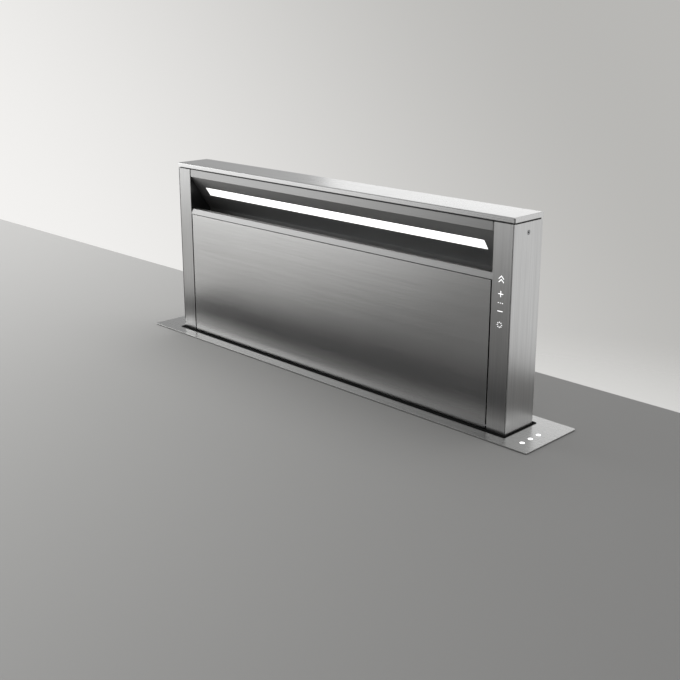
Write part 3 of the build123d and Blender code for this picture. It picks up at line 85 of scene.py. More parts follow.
# ---------------------------------------------------------------- shader fields
@dataclass(frozen=True)
class Field:
    """A value that varies over a surface: one shader socket that Python's operators work on."""

    board: "NodeBoard"
    socket: Socket

    def _math(self, operation: str, *operands: Operand) -> "Field":
        """Returns what a new Math node makes of the operands."""
        return self.board.value("ShaderNodeMath", {"operation": operation}, dict(enumerate(operands)))

    def __add__(self, other: Operand) -> "Field":
        """Returns self + other."""
        return self._math("ADD", self, other)

    def __sub__(self, other: Operand) -> "Field":
        """Returns self - other."""
        return self._math("SUBTRACT", self, other)

    def __rsub__(self, other: float) -> "Field":
        """Returns other - self."""
        return self._math("SUBTRACT", other, self)

    def __mul__(self, other: Operand) -> "Field":
        """Returns self * other."""
        return self._math("MULTIPLY", self, other)

    def __gt__(self, other: Operand) -> "Field":
        """Returns 1 where self is above other and 0 elsewhere."""
        return self._math("GREATER_THAN", self, other)

    def __abs__(self) -> "Field":
        """Returns the field's absolute value."""
        return self._math("ABSOLUTE", self)

    __radd__ = __add__
    __rmul__ = __mul__

    def root(self) -> "Field":
        """Returns the field's square root."""
        return self._math("SQRT", self)

    def repeated(self, pitch: float) -> "Field":
        """Returns the distance to the nearest multiple of a pitch."""
        return self._math("PINGPONG", self, pitch / 2)

    def crests(self, pitch: float) -> "Field":
        """Returns 1 at each multiple of a pitch, and 0 midway between two."""
        return 1.0 - self.repeated(pitch) * (2.0 / pitch)

    def smooth_step(self, low: float, high: float) -> "Field":
        """Returns a smooth climb from 0 at low to 1 at high."""
        sockets = {"Value": self, "From Min": low, "From Max": high}
        return self.board.value("ShaderNodeMapRange", {"interpolation_type": "SMOOTHSTEP"}, sockets)


@dataclass(frozen=True)
class NodeBoard:
    """The node tree of one material or world."""

    tree: bpy.types.NodeTree
    edge_turn: ClassVar[Span] = (0.01, 0.22)
    edge_samples: ClassVar[int] = 4

    def add(
        self, kind: str, settings: Mapping[str, object], sockets: Mapping[Union[int, str], object]
    ) -> bpy.types.Node:
        """Adds one node.

        Args:
            kind: The node's type.
            settings: The node's own settings, set before its sockets.
            sockets: The value or the link of each input, by its number, name or identifier.

        Returns:
            The node.
        """
        node = self.tree.nodes.new(kind)
        for name, value in settings.items():
            setattr(node, name, value)
        for key, value in sockets.items():
            target = self._input(node, key)
            source = value.socket if isinstance(value, Field) else value
            if isinstance(source, Socket):
                self.tree.links.new(source, target)
            else:
                target.default_value = source
        return node

    @staticmethod
    def _input(node: bpy.types.Node, key: Union[int, str]) -> Socket:
        """Returns the input with that number, identifier or name."""
        named = (socket for socket in node.inputs if key in (socket.identifier, socket.name))
        return node.inputs[key] if isinstance(key, int) else next(named)

    def value(
        self,
        kind: str,
        settings: Mapping[str, object],
        sockets: Mapping[Union[int, str], object],
        output: Union[int, str] = 0,
    ) -> Field:
        """Adds one node and returns one of its outputs as a field."""
        return Field(self, self.add(kind, settings, sockets).outputs[output])

    def find(self, kind: str) -> bpy.types.Node:
        """Returns the tree's first node of a type."""
        return next(node for node in self.tree.nodes if node.bl_idname == kind)

    def place(self) -> Socket:
        """Returns the object coordinates, in metres."""
        return self.add("ShaderNodeTexCoord", {}, {}).outputs["Object"]

    def axes(self) -> tuple[Field, ...]:
        """Returns the object coordinates as three fields."""
        node = self.add("ShaderNodeSeparateXYZ", {}, {0: self.place()})
        return tuple(Field(self, output) for output in node.outputs)

    def stretched(self, scale: Cells) -> Socket:
        """Returns the object coordinates multiplied by a scale, the same or its own for each axis."""
        sockets = {0: self.place(), 1: np.broadcast_to(scale, 3).tolist()}
        return self.add("ShaderNodeVectorMath", {"operation": "MULTIPLY"}, sockets).outputs[0]

    def noise(self, cells: Cells, detail: float = 2.0, breakup: float = 0.5) -> Field:
        """Returns fractal noise from 0 to 1."""
        sockets = {"Vector": self.stretched(cells), "Scale": 1.0, "Detail": detail, "Roughness": breakup}
        return self.value("ShaderNodeTexNoise", {}, sockets)

    def crystal(self, cells: float) -> Field:
        """Returns a number from 0 to 1 that differs from one irregular cell to the next."""
        node = self.add("ShaderNodeTexVoronoi", {}, {"Vector": self.place(), "Scale": cells})
        return self.value("ShaderNodeSeparateColor", {}, {0: node.outputs["Color"]})

    def dot(self, first: Socket, second: object) -> Field:
        """Returns the dot product of two directions."""
        ends = {0: first, 1: second}
        return self.value("ShaderNodeVectorMath", {"operation": "DOT_PRODUCT"}, ends, "Value")

    def ray(self, kind: str) -> Field:
        """Returns 1 for the rays that the Light Path node's output names, and 0 for others."""
        return self.value("ShaderNodeLightPath", {}, {}, kind)

    def blend(self, share: Field, first: object, second: object) -> Socket:
        """Blends two colours.

        Args:
            share: How far it goes from the first colour to the second, from 0 to 1.
            first: A written colour or a link.
            second: The other colour or link.

        Returns:
            The blended colour.
        """
        ends = {"A_Color": self._opaque(first), "B_Color": self._opaque(second)}
        node = self.add("ShaderNodeMix", {"data_type": "RGBA"}, {"Factor_Float": share, **ends})
        return next(socket for socket in node.outputs if socket.identifier == "Result_Color")

    @staticmethod
    def _opaque(colour: object) -> object:
        """Returns a written colour with its alpha, and leaves a link as it is."""
        return (*colour, OPAQUE) if isinstance(colour, tuple) else colour

    def shaded(self, colour: Colour, light: Operand) -> Socket:
        """Returns a colour multiplied by the light, so that 1 leaves it as it is."""
        sockets = {0: colour, "Scale": light}
        return self.add("ShaderNodeVectorMath", {"operation": "SCALE"}, sockets).outputs[0]

    def mixed(self, share: Field, first: Socket, second: Socket) -> Socket:
        """Returns the shader that goes from the first to the second as the share goes from 0 to 1."""
        return self.add("ShaderNodeMixShader", {}, {0: share, 1: first, 2: second}).outputs[0]

    def overlay(self, share: Field, shader: Socket) -> None:
        """Mixes a shader over the one that the material shows, by a share."""
        surface = self.find("ShaderNodeOutputMaterial").inputs["Surface"]
        self.tree.links.new(self.mixed(share, surface.links[0].from_socket, shader), surface)

    def rounded(self, radius: float) -> Socket:
        """Returns the normal that the surface has once its edges are rounded to a radius."""
        return self.add("ShaderNodeBevel", {"samples": self.edge_samples}, {"Radius": radius}).outputs[0]

    def edges(self, radius: float) -> Field:
        """Returns 1 along an edge and 0 away from it, from how far the rounded normal turns."""
        plain = self.add("ShaderNodeNewGeometry", {}, {}).outputs["Normal"]
        return (1.0 - self.dot(self.rounded(radius), plain)).smooth_step(*self.edge_turn)

    def bumps(self, height: Field, depth: float, edge_radius: float = 0.0) -> Socket:
        """Returns the normal of a raised surface.

        Args:
            height: The height as a field from 0 to 1.
            depth: The height in metres where the field is 1.
            edge_radius: How far the edges under it are rounded off, in metres.

        Returns:
            The normal, for a shader's own normal socket.
        """
        sockets = {"Height": height, "Distance": depth, "Strength": 1.0}
        if edge_radius > 0.0:
            sockets["Normal"] = self.rounded(edge_radius)
        return self.add("ShaderNodeBump", {}, sockets).outputs[0]


# ---------------------------------------------------------------- kinds of finish
class Grain(Enum):
    """The way that a sheet was brushed or a bar was drawn, by the share of lines along each axis."""

    ALONG_X = (1.0, 90.0, 90.0)
    ALONG_Y = (90.0, 1.0, 90.0)
    ALONG_Z = (90.0, 90.0, 1.0)

    def cells(self, along: float) -> tuple[float, ...]:
        """Returns the noise cells per metre of each axis, from those along the grain."""
        return tuple(along * share for share in self.value)


class Sheen(Enum):
    """How the grain stretches a reflection on an upright face: a share, and a turn of the tangent."""

    NONE = (0.0, 0.0)
    LEVEL_GRAIN = (0.6, 0.25)
    UPRIGHT_GRAIN = (0.6, 0.0)


@dataclass(frozen=True)
class Finish(ABC):
    """A surface finish: its name, colour, and the constants of its shader."""

    label: str
    tone: Colour
    roughness: float = 0.5
    metallic: float = 0.0

    @abstractmethod
    def paint(self, board: NodeBoard) -> Sockets:
        """Adds the finish's own nodes.

        Args:
            board: The material's nodes.

        Returns:
            What the shader's sockets hold or are linked to.
        """

    def material(self) -> bpy.types.Material:
        """Returns the finish's material, which is made once."""
        return _material_of(self)


@lru_cache(maxsize=None)
def _material_of(finish: Finish) -> bpy.types.Material:
    """Builds the material of a finish.

    Args:
        finish: The finish, which is its own key in the cache.

    Returns:
        A material with one Principled shader.
    """
    material = bpy.data.materials.new(finish.label)
    material.use_nodes = True
    material.node_tree.nodes.clear()
    board = NodeBoard(material.node_tree)
    tone = (*finish.tone, OPAQUE)
    constants = {"Base Color": tone, "Roughness": finish.roughness, "Metallic": finish.metallic}
    shader = board.add("ShaderNodeBsdfPrincipled", {}, constants | finish.paint(board))
    board.add("ShaderNodeOutputMaterial", {}, {"Surface": shader.outputs[0]})
    material.diffuse_color = tone
    return material


@dataclass(frozen=True)
class Layer:
    """One noise over a finish, and what its swing about one half adds to the shader.

    Light is added to the tone's factor, rough to the roughness, and height is a bump in metres.
    """

    cells: Cells
    detail: float = 2.0
    breakup: float = 0.5
    light: float = 0.0
    rough: float = 0.0
    height: float = 0.0


@dataclass(frozen=True)
class Film:
    """A patchy film over a finish: its tone fades in where its noise climbs through a span."""

    cells: Cells
    detail: float
    breakup: float
    span: Span
    tone: Colour
    share: float
    rough: float = 0.0

    def cover(self, board: NodeBoard) -> Field:
        """Returns 1 where the film is whole and 0 where there is none."""
        return board.noise(self.cells, self.detail, self.breakup).smooth_step(*self.span)


@dataclass(frozen=True)
class Layered(Finish):
    """A finish made of layers of noise, with or without a film over them."""

    edge_radius: float = 0.0

    @abstractmethod
    def layers(self) -> tuple[Layer, ...]:
        """Returns the layers of noise."""

    def film(self) -> Optional[Film]:
        """Returns the film, if there is one."""
        return None

    def start(self, board: NodeBoard) -> tuple[Operand, Operand]:
        """Returns the light and the roughness that the layers are added to."""
        return 1.0, self.roughness

    def paint(self, board: NodeBoard) -> Sockets:
        """Adds the layers up, and lays the film over them.

        Args:
            board: The material's nodes.

        Returns:
            What the shader's sockets hold or are linked to.
        """
        sockets = {}
        light, rough = self.start(board)
        for layer in self.layers():
            noise = board.noise(layer.cells, layer.detail, layer.breakup)
            light = light + (noise - 0.5) * layer.light
            rough = rough + (noise - 0.5) * layer.rough
            if layer.height:
                sockets["Normal"] = board.bumps(noise, layer.height, self.edge_radius)
        sockets["Base Color"] = board.shaded(self.tone, light)
        film = self.film()
        if film:
            cover = film.cover(board)
            sockets["Base Color"] = board.blend(cover * film.share, sockets["Base Color"], film.tone)
            rough = rough + cover * film.rough
        return sockets | {"Roughness": rough}


@dataclass(frozen=True)
class BrushedSteel(Layered):
    """Stainless sheet with a fine grain of short scratches, and a faint cloudiness."""

    roughness: float = 0.34
    metallic: float = 1.0
    edge_radius: float = 0.5 * MM
    grain: Grain = Grain.ALONG_X
    sheen: Sheen = Sheen.NONE
    contrast: float = 0.12

    def layers(self) -> tuple[Layer, ...]:
        """Returns fine and coarse scratches, and the clouds."""
        return (
            Layer(self.grain.cells(15.0), 3.0, 0.6, self.contrast * 1.2, rough=0.072, height=0.006 * MM),
            Layer(self.grain.cells(3.4), light=self.contrast * 0.8, rough=0.048),
            Layer(5.0, light=0.06, rough=0.06),
        )

    def paint(self, board: NodeBoard) -> Sockets:
        """Returns the layers' sockets with the sheen's constants."""
        share, turn = self.sheen.value
        return super().paint(board) | {"Anisotropic": share, "Anisotropic Rotation": turn}


@dataclass(frozen=True)
class ColumnSteel(BrushedSteel):
    """Brushed steel with painted shade on its inner walls, which line the intake."""

    grain: Grain = Grain.ALONG_Z
    sheen: Sheen = Sheen.UPRIGHT_GRAIN
    inner_wall: float = 348.3 * MM
    # where the painted shade on the inner walls fades out, and its tone
    wall_shade_edge: Span = (0.1 * MM, 0.5 * MM)
    wall_shade_tone: Colour = (0.06, 0.06, 0.06)

    def paint(self, board: NodeBoard) -> Sockets:
        """Blends the brushed steel to the painted shade, by the distance from the inner wall's plane.

        Args:
            board: The material's nodes.

        Returns:
            What the shader's sockets hold or are linked to.
        """
        sockets = super().paint(board)
        # painted shade: the inner walls that line the intake are made near black
        coat = 1.0 - (abs(board.axes()[0]) - self.inner_wall).smooth_step(*self.wall_shade_edge)
        return sockets | {"Base Color": board.blend(coat, sockets["Base Color"], self.wall_shade_tone)}


@dataclass(frozen=True)
class GalvanisedSheet(Layered):
    """Zinc-dipped sheet with the leaf-like crystals of its spangle, frosty veins and worn edges."""

    roughness: float = 0.42
    metallic: float = 0.9
    edge_radius: float = 0.9 * MM
    crystals: float = 110.0
    finer: float = 3.1
    least_light: float = 0.90
    crystal_light: float = 0.12
    finer_light: float = 0.05
    crystal_rough: float = 0.14
    worn_light: float = 0.22
    worn_polish: float = 0.14

    def start(self, board: NodeBoard) -> tuple[Operand, Operand]:
        """Takes a light and a roughness for each crystal, and polishes the edges.

        Args:
            board: The material's nodes.

        Returns:
            The light and the roughness.
        """
        crystal, finer = board.crystal(self.crystals), board.crystal(self.crystals * self.finer)
        worn = board.edges(self.edge_radius)
        light = self.least_light + crystal * self.crystal_light + finer * self.finer_light
        rough = self.roughness + (crystal - 0.5) * self.crystal_rough
        return light + worn * self.worn_light, rough - worn * self.worn_polish

    def layers(self) -> tuple[Layer, ...]:
        """Returns the frosty veins and the clouds."""
        return Layer(420.0, 3.0, 0.65, light=0.08, rough=0.10, height=0.01 * MM), Layer(4.0, light=0.10)


@dataclass(frozen=True)
class PlatedSteel(Layered):
    """Turned or drawn steel with bright zinc, its fine tool marks and dull patches."""

    roughness: float = 0.26
    metallic: float = 1.0
    grain: Grain = Grain.ALONG_X

    def layers(self) -> tuple[Layer, ...]:
        """Returns tool marks along the grain and a passing dullness."""
        marks = Layer(self.grain.cells(20.0), light=0.10, height=0.015 * MM)
        return marks, Layer(90.0, 3.0, light=0.08, rough=0.24)


@dataclass(frozen=True)
class SocketHead(PlatedSteel):
    """Bright zinc on a screw seen end on along X, with painted shade in its socket and a painted shadow ring
    at its rim.
    """

    level: float = 297.2 * MM
    # where the painted shade in the socket and the painted shadow ring at the rim fade, and their tone
    socket_edge: Span = (1.7 * MM, 2.2 * MM)
    rim_edge: Span = (2.34 * MM, 2.86 * MM)
    socket_shade_tone: Colour = (0.02, 0.02, 0.02)

    def paint(self, board: NodeBoard) -> Sockets:
        """Blends the plating to the painted shade, by the distance from the screw's axis.

        Args:
            board: The material's nodes.

        Returns:
            What the shader's sockets hold or are linked to.
        """
        sockets = super().paint(board)
        _, deep, up = board.axes()
        rise = up - self.level
        reach = (deep * deep + rise * rise).root()
        # painted shade in the socket and a painted shadow ring at the head's rim
        dark = 1.0 - reach.smooth_step(*self.socket_edge) + reach.smooth_step(*self.rim_edge)
        return sockets | {"Base Color": board.blend(dark, sockets["Base Color"], self.socket_shade_tone)}


@dataclass(frozen=True)
class KnittedMesh(Layered):
    """Aluminium mesh of a grease filter: two sets of crossing strands, with painted shade in the gaps between
    them.
    """

    roughness: float = 0.36
    metallic: float = 0.95
    edge_radius: float = 0.8 * MM
    pitch: float = 5.2 * MM
    lean: float = 1.7
    sway: float = 1.6 * MM
    sway_cells: float = 70.0
    strand_edge: Span = (0.45, 0.75)
    strand_height: float = 0.6 * MM
    gap_edge: Span = (0.0, 0.8)
    gap_shade_tone: Colour = (0.10, 0.10, 0.10)

    def layers(self) -> tuple[Layer, ...]:
        """Returns the metal's bloom."""
        return (Layer(40.0, 4.0, 0.6, light=0.316, rough=0.2),)

    def paint(self, board: NodeBoard) -> Sockets:
        """Lays strands along both diagonals, from the distance to the nearest line of each set.

        Args:
            board: The material's nodes.

        Returns:
            What the shader's sockets hold or are linked to.
        """
        sockets = super().paint(board)
        across, _, up = board.axes()
        sway = (board.noise(self.sway_cells) - 0.5) * self.sway
        lines = [(across + up * lean + sway).crests(self.pitch) for lean in (self.lean, -self.lean)]
        strand = lines[0].smooth_step(*self.strand_edge) + lines[1].smooth_step(*self.strand_edge)
        # painted shade: the gaps between the strands are darkened
        colour = board.blend(strand.smooth_step(*self.gap_edge), self.gap_shade_tone, sockets["Base Color"])
        normal = board.bumps(strand, self.strand_height, self.edge_radius)
        return sockets | {"Base Color": colour, "Normal": normal}


@dataclass(frozen=True)
class Aluminium(Layered):
    """Extruded, pressed or die-cast aluminium with its drawing lines and grey bloom."""

    roughness: float = 0.40
    metallic: float = 0.95
    grain: Grain = Grain.ALONG_X

    def layers(self) -> tuple[Layer, ...]:
        """Returns drawing lines along the grain and a blotchy bloom."""
        lines = Layer(self.grain.cells(9.0), 2.0, 0.6, light=0.14, rough=0.10, height=0.02 * MM)
        return lines, Layer(35.0, 4.0, 0.6, light=0.10, rough=0.24)


@dataclass(frozen=True)
class MouldedPlastic(Layered):
    """Moulded plastic with a spark-eroded skin, faint flow marks and a little dust."""

    roughness: float = 0.52
    dust: float = 0.12

    def layers(self) -> tuple[Layer, ...]:
        """Returns the pebbled skin and the flow marks."""
        skin = Layer(1500.0, 1.0, height=0.04 * MM)
        return skin, Layer((14.0, 14.0, 40.0), 3.0, 0.55, light=0.28, rough=0.16)

    def film(self) -> Film:
        """Returns the dust."""
        tone = (0.42, 0.41, 0.39)
        return Film(60.0, 4.0, 0.7, span=(0.52, 0.78), tone=tone, share=self.dust, rough=0.12)


@dataclass(frozen=True)
class Rubber(Layered):
    """Black rubber or foam with a grainy skin and a pale bloom."""

    roughness: float = 0.82
    bloom: float = 0.18
    specular: float = 0.5

    def layers(self) -> tuple[Layer, ...]:
        """Returns the pores and the bloom's dullness."""
        return Layer(2200.0, 2.0, 0.6, height=0.05 * MM), Layer(45.0, 4.0, 0.6, rough=0.15)

    def film(self) -> Film:
        """Returns the bloom's pale patches."""
        return Film(45.0, 4.0, 0.6, span=(0.45, 0.8), tone=(0.16, 0.16, 0.155), share=self.bloom)

    def paint(self, board: NodeBoard) -> Sockets:
        """Returns the layers' sockets with the rubber's specular level."""
        return super().paint(board) | {"Specular IOR Level": self.specular}


@dataclass(frozen=True)
class BeltRubber(Finish):
    """A toothed belt's rubber: ribs over its cords, with a worn tone on their crests."""

    roughness: float = 0.82
    rib_pitch: float = 5.0 * MM
    rib_height: float = 0.4 * MM
    rib_edge: Span = (0.35, 0.65)
    worn_tone: Colour = (0.20, 0.20, 0.20)
    worn_share: float = 0.30
    worn_polish: float = 0.15
    scuff_rough: float = 0.12

    def paint(self, board: NodeBoard) -> Sockets:
        """Lays ribs across the belt's run.

        Args:
            board: The material's nodes.

        Returns:
            What the shader's sockets hold or are linked to.
        """
        rib = board.axes()[2].crests(self.rib_pitch).smooth_step(*self.rib_edge)
        scuffs = board.noise(160.0, 3.0, 0.6)
        return {
            "Base Color": board.blend(rib * scuffs * self.worn_share, self.tone, self.worn_tone),
            "Roughness": self.roughness - rib * self.worn_polish + (scuffs - 0.5) * self.scuff_rough,
            "Normal": board.bumps(rib, self.rib_height),
        }


@dataclass(frozen=True)
class Enamel(Layered):
    """Stoved enamel with orange peel and worn, brighter high spots."""

    roughness: float = 0.38
    coat: float = 0.25
    coat_worn: float = 0.20

    def layers(self) -> tuple[Layer, ...]:
        """Returns the orange peel."""
        return (Layer(420.0, rough=0.10, height=0.06 * MM),)

    def film(self) -> Film:
        """Returns the scuffs."""
        cells, tone = (70.0, 70.0, 240.0), (0.20, 0.20, 0.20)
        return Film(cells, 5.0, 0.7, span=(0.58, 0.72), tone=tone, share=0.22, rough=0.22)

    def paint(self, board: NodeBoard) -> Sockets:
        """Returns the layers' sockets, with a coat that is thin where it is scuffed."""
        return super().paint(board) | {"Coat Weight": self.coat - self.film().cover(board) * self.coat_worn}


@dataclass(frozen=True)
class LitOpal(Finish):
    """Opal plastic lit from behind, a touch dimmer between the lamps and at its ends."""

    roughness: float = 0.35
    glow: float = 1.35
    glow_tone: Colour = (1.0, 0.995, 0.98)
    lamp_pitch: float = 30.0 * MM
    lamp_swell: float = 0.05
    dim_ends: Span = (298.5 * MM, 327.4 * MM)
    end_loss: float = 0.25
    skin_cells: float = 300.0
    skin_rough: float = 0.05

    def paint(self, board: NodeBoard) -> Sockets:
        """Swells the glow at each lamp, and lets it fall at both ends.

        Args:
            board: The material's nodes.

        Returns:
            What the shader's sockets hold or are linked to.
        """
        across = board.axes()[0]
        swell = 1.0 - self.lamp_swell + across.crests(self.lamp_pitch) * self.lamp_swell
        ends = 1.0 - abs(across).smooth_step(*self.dim_ends) * self.end_loss
        return {
            "Emission Color": board.shaded(self.glow_tone, swell * ends),
            "Emission Strength": self.glow,
            "Roughness": self.roughness + board.noise(self.skin_cells) * self.skin_rough,
        }


@dataclass(frozen=True)
class LitMark(Finish):
    """A small lit symbol, soft in its brightness from one part to the next."""

    roughness: float = 0.4
    glow: float = 1.15
    uneven_cells: float = 900.0
    unevenness: float = 0.24

    def paint(self, board: NodeBoard) -> Sockets:
        """Returns a white emission with a fine unevenness."""
        light = 1.0 + (board.noise(self.uneven_cells) - 0.5) * self.unevenness
        return {"Emission Color": board.shaded((1.0, 1.0, 1.0), light), "Emission Strength": self.glow}


@dataclass(frozen=True)
class SolderMask(Finish):
    """A circuit board: lacquer over copper tracks on a grid, with tinned pads."""

    roughness: float = 0.30
    track_pitch: float = 3.6 * MM
    track_edge: Span = (0.3 * MM, 0.5 * MM)
    pad_pitch: float = 9.0 * MM
    pad_edge: Span = (0.9 * MM, 1.2 * MM)
    patches: float = 70.0
    track_tone: Colour = (0.10, 0.36, 0.17)
    track_share: float = 0.55
    track_rise: float = 0.6
    tin_tone: Colour = (0.62, 0.60, 0.52)
    tin_rough: float = 0.12
    tin_metal: float = 0.9
    pad_height: float = 0.04 * MM

    def paint(self, board: NodeBoard) -> Sockets:
        """Lays tracks and pads from distances to two grids, with tracks one way in each patch.

        Args:
            board: The material's nodes.

        Returns:
            What the shader's sockets hold or are linked to.
        """
        across, _, up = board.axes()
        upright = 1.0 - across.repeated(self.track_pitch).smooth_step(*self.track_edge)
        level = 1.0 - up.repeated(self.track_pitch).smooth_step(*self.track_edge)
        runs_up = board.crystal(self.patches) > 0.5
        tracks = upright * runs_up + level * (1.0 - runs_up)
        reach = across.repeated(self.pad_pitch) + up.repeated(self.pad_pitch)
        pads = 1.0 - reach.smooth_step(*self.pad_edge)
        lacquer = board.blend(tracks * self.track_share, self.tone, self.track_tone)
        return {
            "Base Color": board.blend(pads, lacquer, self.tin_tone),
            "Roughness": self.roughness + pads * self.tin_rough,
            "Metallic": pads * self.tin_metal,
            "Normal": board.bumps(tracks * self.track_rise + pads, self.pad_height),
        }


@dataclass(frozen=True)
class PlainMatt(Layered):
    """A plain matt surface for the stage, with a barely uneven roughness."""

    roughness: float = 0.9

    def layers(self) -> tuple[Layer, ...]:
        """Returns the unevenness."""
        return (Layer(3.0, rough=0.06),)


# ---------------------------------------------------------------- surfaces from numpy
@dataclass(frozen=True)
class Patch:
    """A surface as a grid of points, of shape (rows, columns, 3).

    Face (i, j) joins the points (i, j), (i + 1, j), (i + 1, j + 1) and (i, j + 1). The rows close
    on themselves. Along closes the columns too, and capped fills the ends of a tube.
    """

    grid: np.ndarray
    along: bool = False
    capped: bool = True

    @property
    def size(self) -> int:
        """The count of points."""
        return self.grid.shape[0] * self.grid.shape[1]

    def faces(self, first: int) -> list[list[int]]:
        """Numbers the corners of the faces.

        Args:
            first: The number of the patch's first point.

        Returns:
            The point numbers of each face.
        """
        number = np.arange(self.size).reshape(self.grid.shape[:2]) + first
        if self.along:
            number = np.vstack([number, number[:1]])
        number = np.hstack([number, number[:, :1]])
        quads = np.stack([number[:-1, :-1], number[1:, :-1], number[1:, 1:], number[:-1, 1:]], axis=-1)
        faces = quads.reshape(-1, 4).tolist()
        if self.capped and not self.along:
            faces += [number[0, :-1].tolist(), number[-1, :-1][::-1].tolist()]
        return faces


def piece_of(name: str, patches: Sequence[Patch], turned_out: bool = True) -> bpy.types.Object:
    """Makes one mesh object, at the origin, from patches.

    Args:
        name: The object's name.
        patches: The surfaces, whose points are joined into one array.
        turned_out: Whether the faces of each closed shell are made to face outwards.

    Returns:
        The new object.
    """
    ends = np.cumsum([patch.size for patch in patches])
    points = np.concatenate([patch.grid.reshape(-1, 3) for patch in patches])
    faces = [face for patch, end in zip(patches, ends) for face in patch.faces(int(end) - patch.size)]
    mesh = bpy.data.meshes.new(name)
    mesh.from_pydata(points.tolist(), [], faces)
    if turned_out:
        shells = bmesh.new()
        shells.from_mesh(mesh)
        bmesh.ops.recalc_face_normals(shells, faces=shells.faces)
        shells.to_mesh(mesh)
        shells.free()
    piece = bpy.data.objects.new(name, mesh)
    bpy.context.scene.collection.objects.link(piece)
    return piece


@dataclass(frozen=True)
class Drawing:
    """A plane to draw flat paths on: its origin, and its across and up directions."""

    origin: Vector
    across: Vector
    up: Vector

    def to_space(self, flat: np.ndarray) -> np.ndarray:
        """Returns points given as (across, up, out) in the row frame."""
        basis = np.array([self.across, self.up, self.across.cross(self.up)])
        return flat @ basis + np.array(self.origin)


def even_turns(steps: int) -> np.ndarray:
    """Returns the angles of points at even turns, in radians."""
    return np.linspace(0.0, 2 * pi, steps, endpoint=False)


def turned(reach: np.ndarray, angle: np.ndarray, out: Union[np.ndarray, float]) -> np.ndarray:
    """Returns points (across, up, out) by their reach and their angle about the outward axis."""
    return np.stack([reach * np.cos(angle), reach * np.sin(angle), 0.0 * reach * angle + out], axis=-1)


def level_ring(steps: int, half_x: float, half_y: float, corner: float) -> np.ndarray:
    """Draws a rectangle with cut corners about its middle, as points at even turns.

    The distance at each turn is the least of those to the two pairs of sides and to the corner cuts.

    Args:
        steps: Points round the ring.
        half_x: Half of its width along X.
        half_y: Half of its width along Y.
        corner: How much of each side a corner cut takes.

    Returns:
        Points (x, y), of shape (steps, 2).
    """
    angle = even_turns(steps) + pi / steps
    cosine, sine = np.abs(np.cos(angle)), np.abs(np.sin(angle))
    cut = (half_x + half_y - corner) / (cosine + sine)
    reach = np.minimum(np.minimum(half_x / cosine, half_y / sine), cut)
    return turned(reach, angle, 0.0)[:, :2]


def stroke(path: np.ndarray, width: float, height: float) -> np.ndarray:
    """Carries a flat rectangle along an open flat path, with mitred corners.

    Each point of the path moves sideways by half the width along the mean of its two runs'
    normals, divided by the cosine of half the turn, and outwards by the height.

    Args:
        path: Points (across, up), of shape (n, 2).
        width: The stroke's width.
        height: How far the stroke stands out.

    Returns:
        Points (across, up, out) of shape (n, 4, 3), whose second direction closes.
    """
    runs = np.diff(path, axis=0)
    runs /= np.linalg.norm(runs, axis=1, keepdims=True)
    leaving, arriving = np.vstack([runs, runs[-1:]]), np.vstack([runs[:1], runs])
    mean = leaving + arriving
    mean /= np.linalg.norm(mean, axis=1, keepdims=True)
    cosine = np.sum(mean * leaving, axis=1, keepdims=True)
    side = np.stack([-mean[:, 1], mean[:, 0]], axis=1) / cosine * width / 2
    low = np.zeros((len(path), 1))
    high = low + height
    corners = ((path - side, low), (path + side, low), (path + side, high), (path - side, high))
    return np.stack([np.hstack(corner) for corner in corners], axis=1)


def lathed(section: Sequence[Span], reach: float, height: float, steps: int) -> np.ndarray:
    """Turns a half section about the outward axis.

    Args:
        section: Points (reach, out), as shares of the whole reach and height.
        reach: The whole reach.
        height: The whole height.
        steps: Points round the axis.

    Returns:
        Points (across, up, out) of shape (n, steps, 3), whose second direction closes.
    """
    half = np.array(section) * [reach, height]
    return turned(half[:, :1], even_turns(steps), half[:, 1:])


class Head(ABC):
    """The head of a small fixing, drawn once about its own axis and repeated at many places."""

    @abstractmethod
    def points(self) -> np.ndarray:
        """Returns the head's grid (across, up, out), whose second direction closes."""

    def row(self, drawing: Drawing, places: np.ndarray) -> list[Patch]:
        """Returns one patch for each place (across, up) on a drawing."""
        lifted = np.hstack([places, np.zeros((len(places), 1))])
        return [Patch(drawing.to_space(grid)) for grid in self.points() + lifted[:, None, None, :]]


@dataclass(frozen=True)
class RivetHead(Head):
    """A low domed head: its section goes from the foot of the rim to a small flat crown."""

    radius: float = 2.4 * MM
    height: float = 0.6 * MM
    steps: int = 14
    section: ClassVar[Sequence[Span]] = ((1.0, 0.0), (0.94, 0.45), (0.70, 0.85), (0.30, 1.0))

    def points(self) -> np.ndarray:
        """Returns the dome."""
        return lathed(self.section, self.radius, self.height, self.steps)


@dataclass(frozen=True)
class ScrewHead(Head):
    """A pan head with a cross recess.

    The recess reaches recess * (waist + (1 - waist) * cos(2 * angle)**2), which gives it four arms.
    """

    radius: float = 3.6 * MM
    height: float = 1.4 * MM
    recess: float = 2.0 * MM
    recess_depth: float = 0.8 * MM
    waist: float = 0.3
    floor_share: float = 0.8
    steps: int = 16
    section: ClassVar[Sequence[Span]] = ((1.0, 0.0), (1.0, 0.55), (0.86, 0.9), (0.62, 1.0))

    def points(self) -> np.ndarray:
        """Draws the rim, the dome, and the edge and the floor of the recess.

        Returns:
            The head's grid (across, up, out).
        """
        angle = even_turns(self.steps)
        arms = self.waist + (1.0 - self.waist) * np.cos(2 * angle) ** 2
        edge = turned(self.recess * arms, angle, self.height)
        floor = edge * [self.floor_share, self.floor_share, 1.0] - [0.0, 0.0, self.recess_depth]
        return np.concatenate([lathed(self.section, self.radius, self.height, self.steps), [edge, floor]])


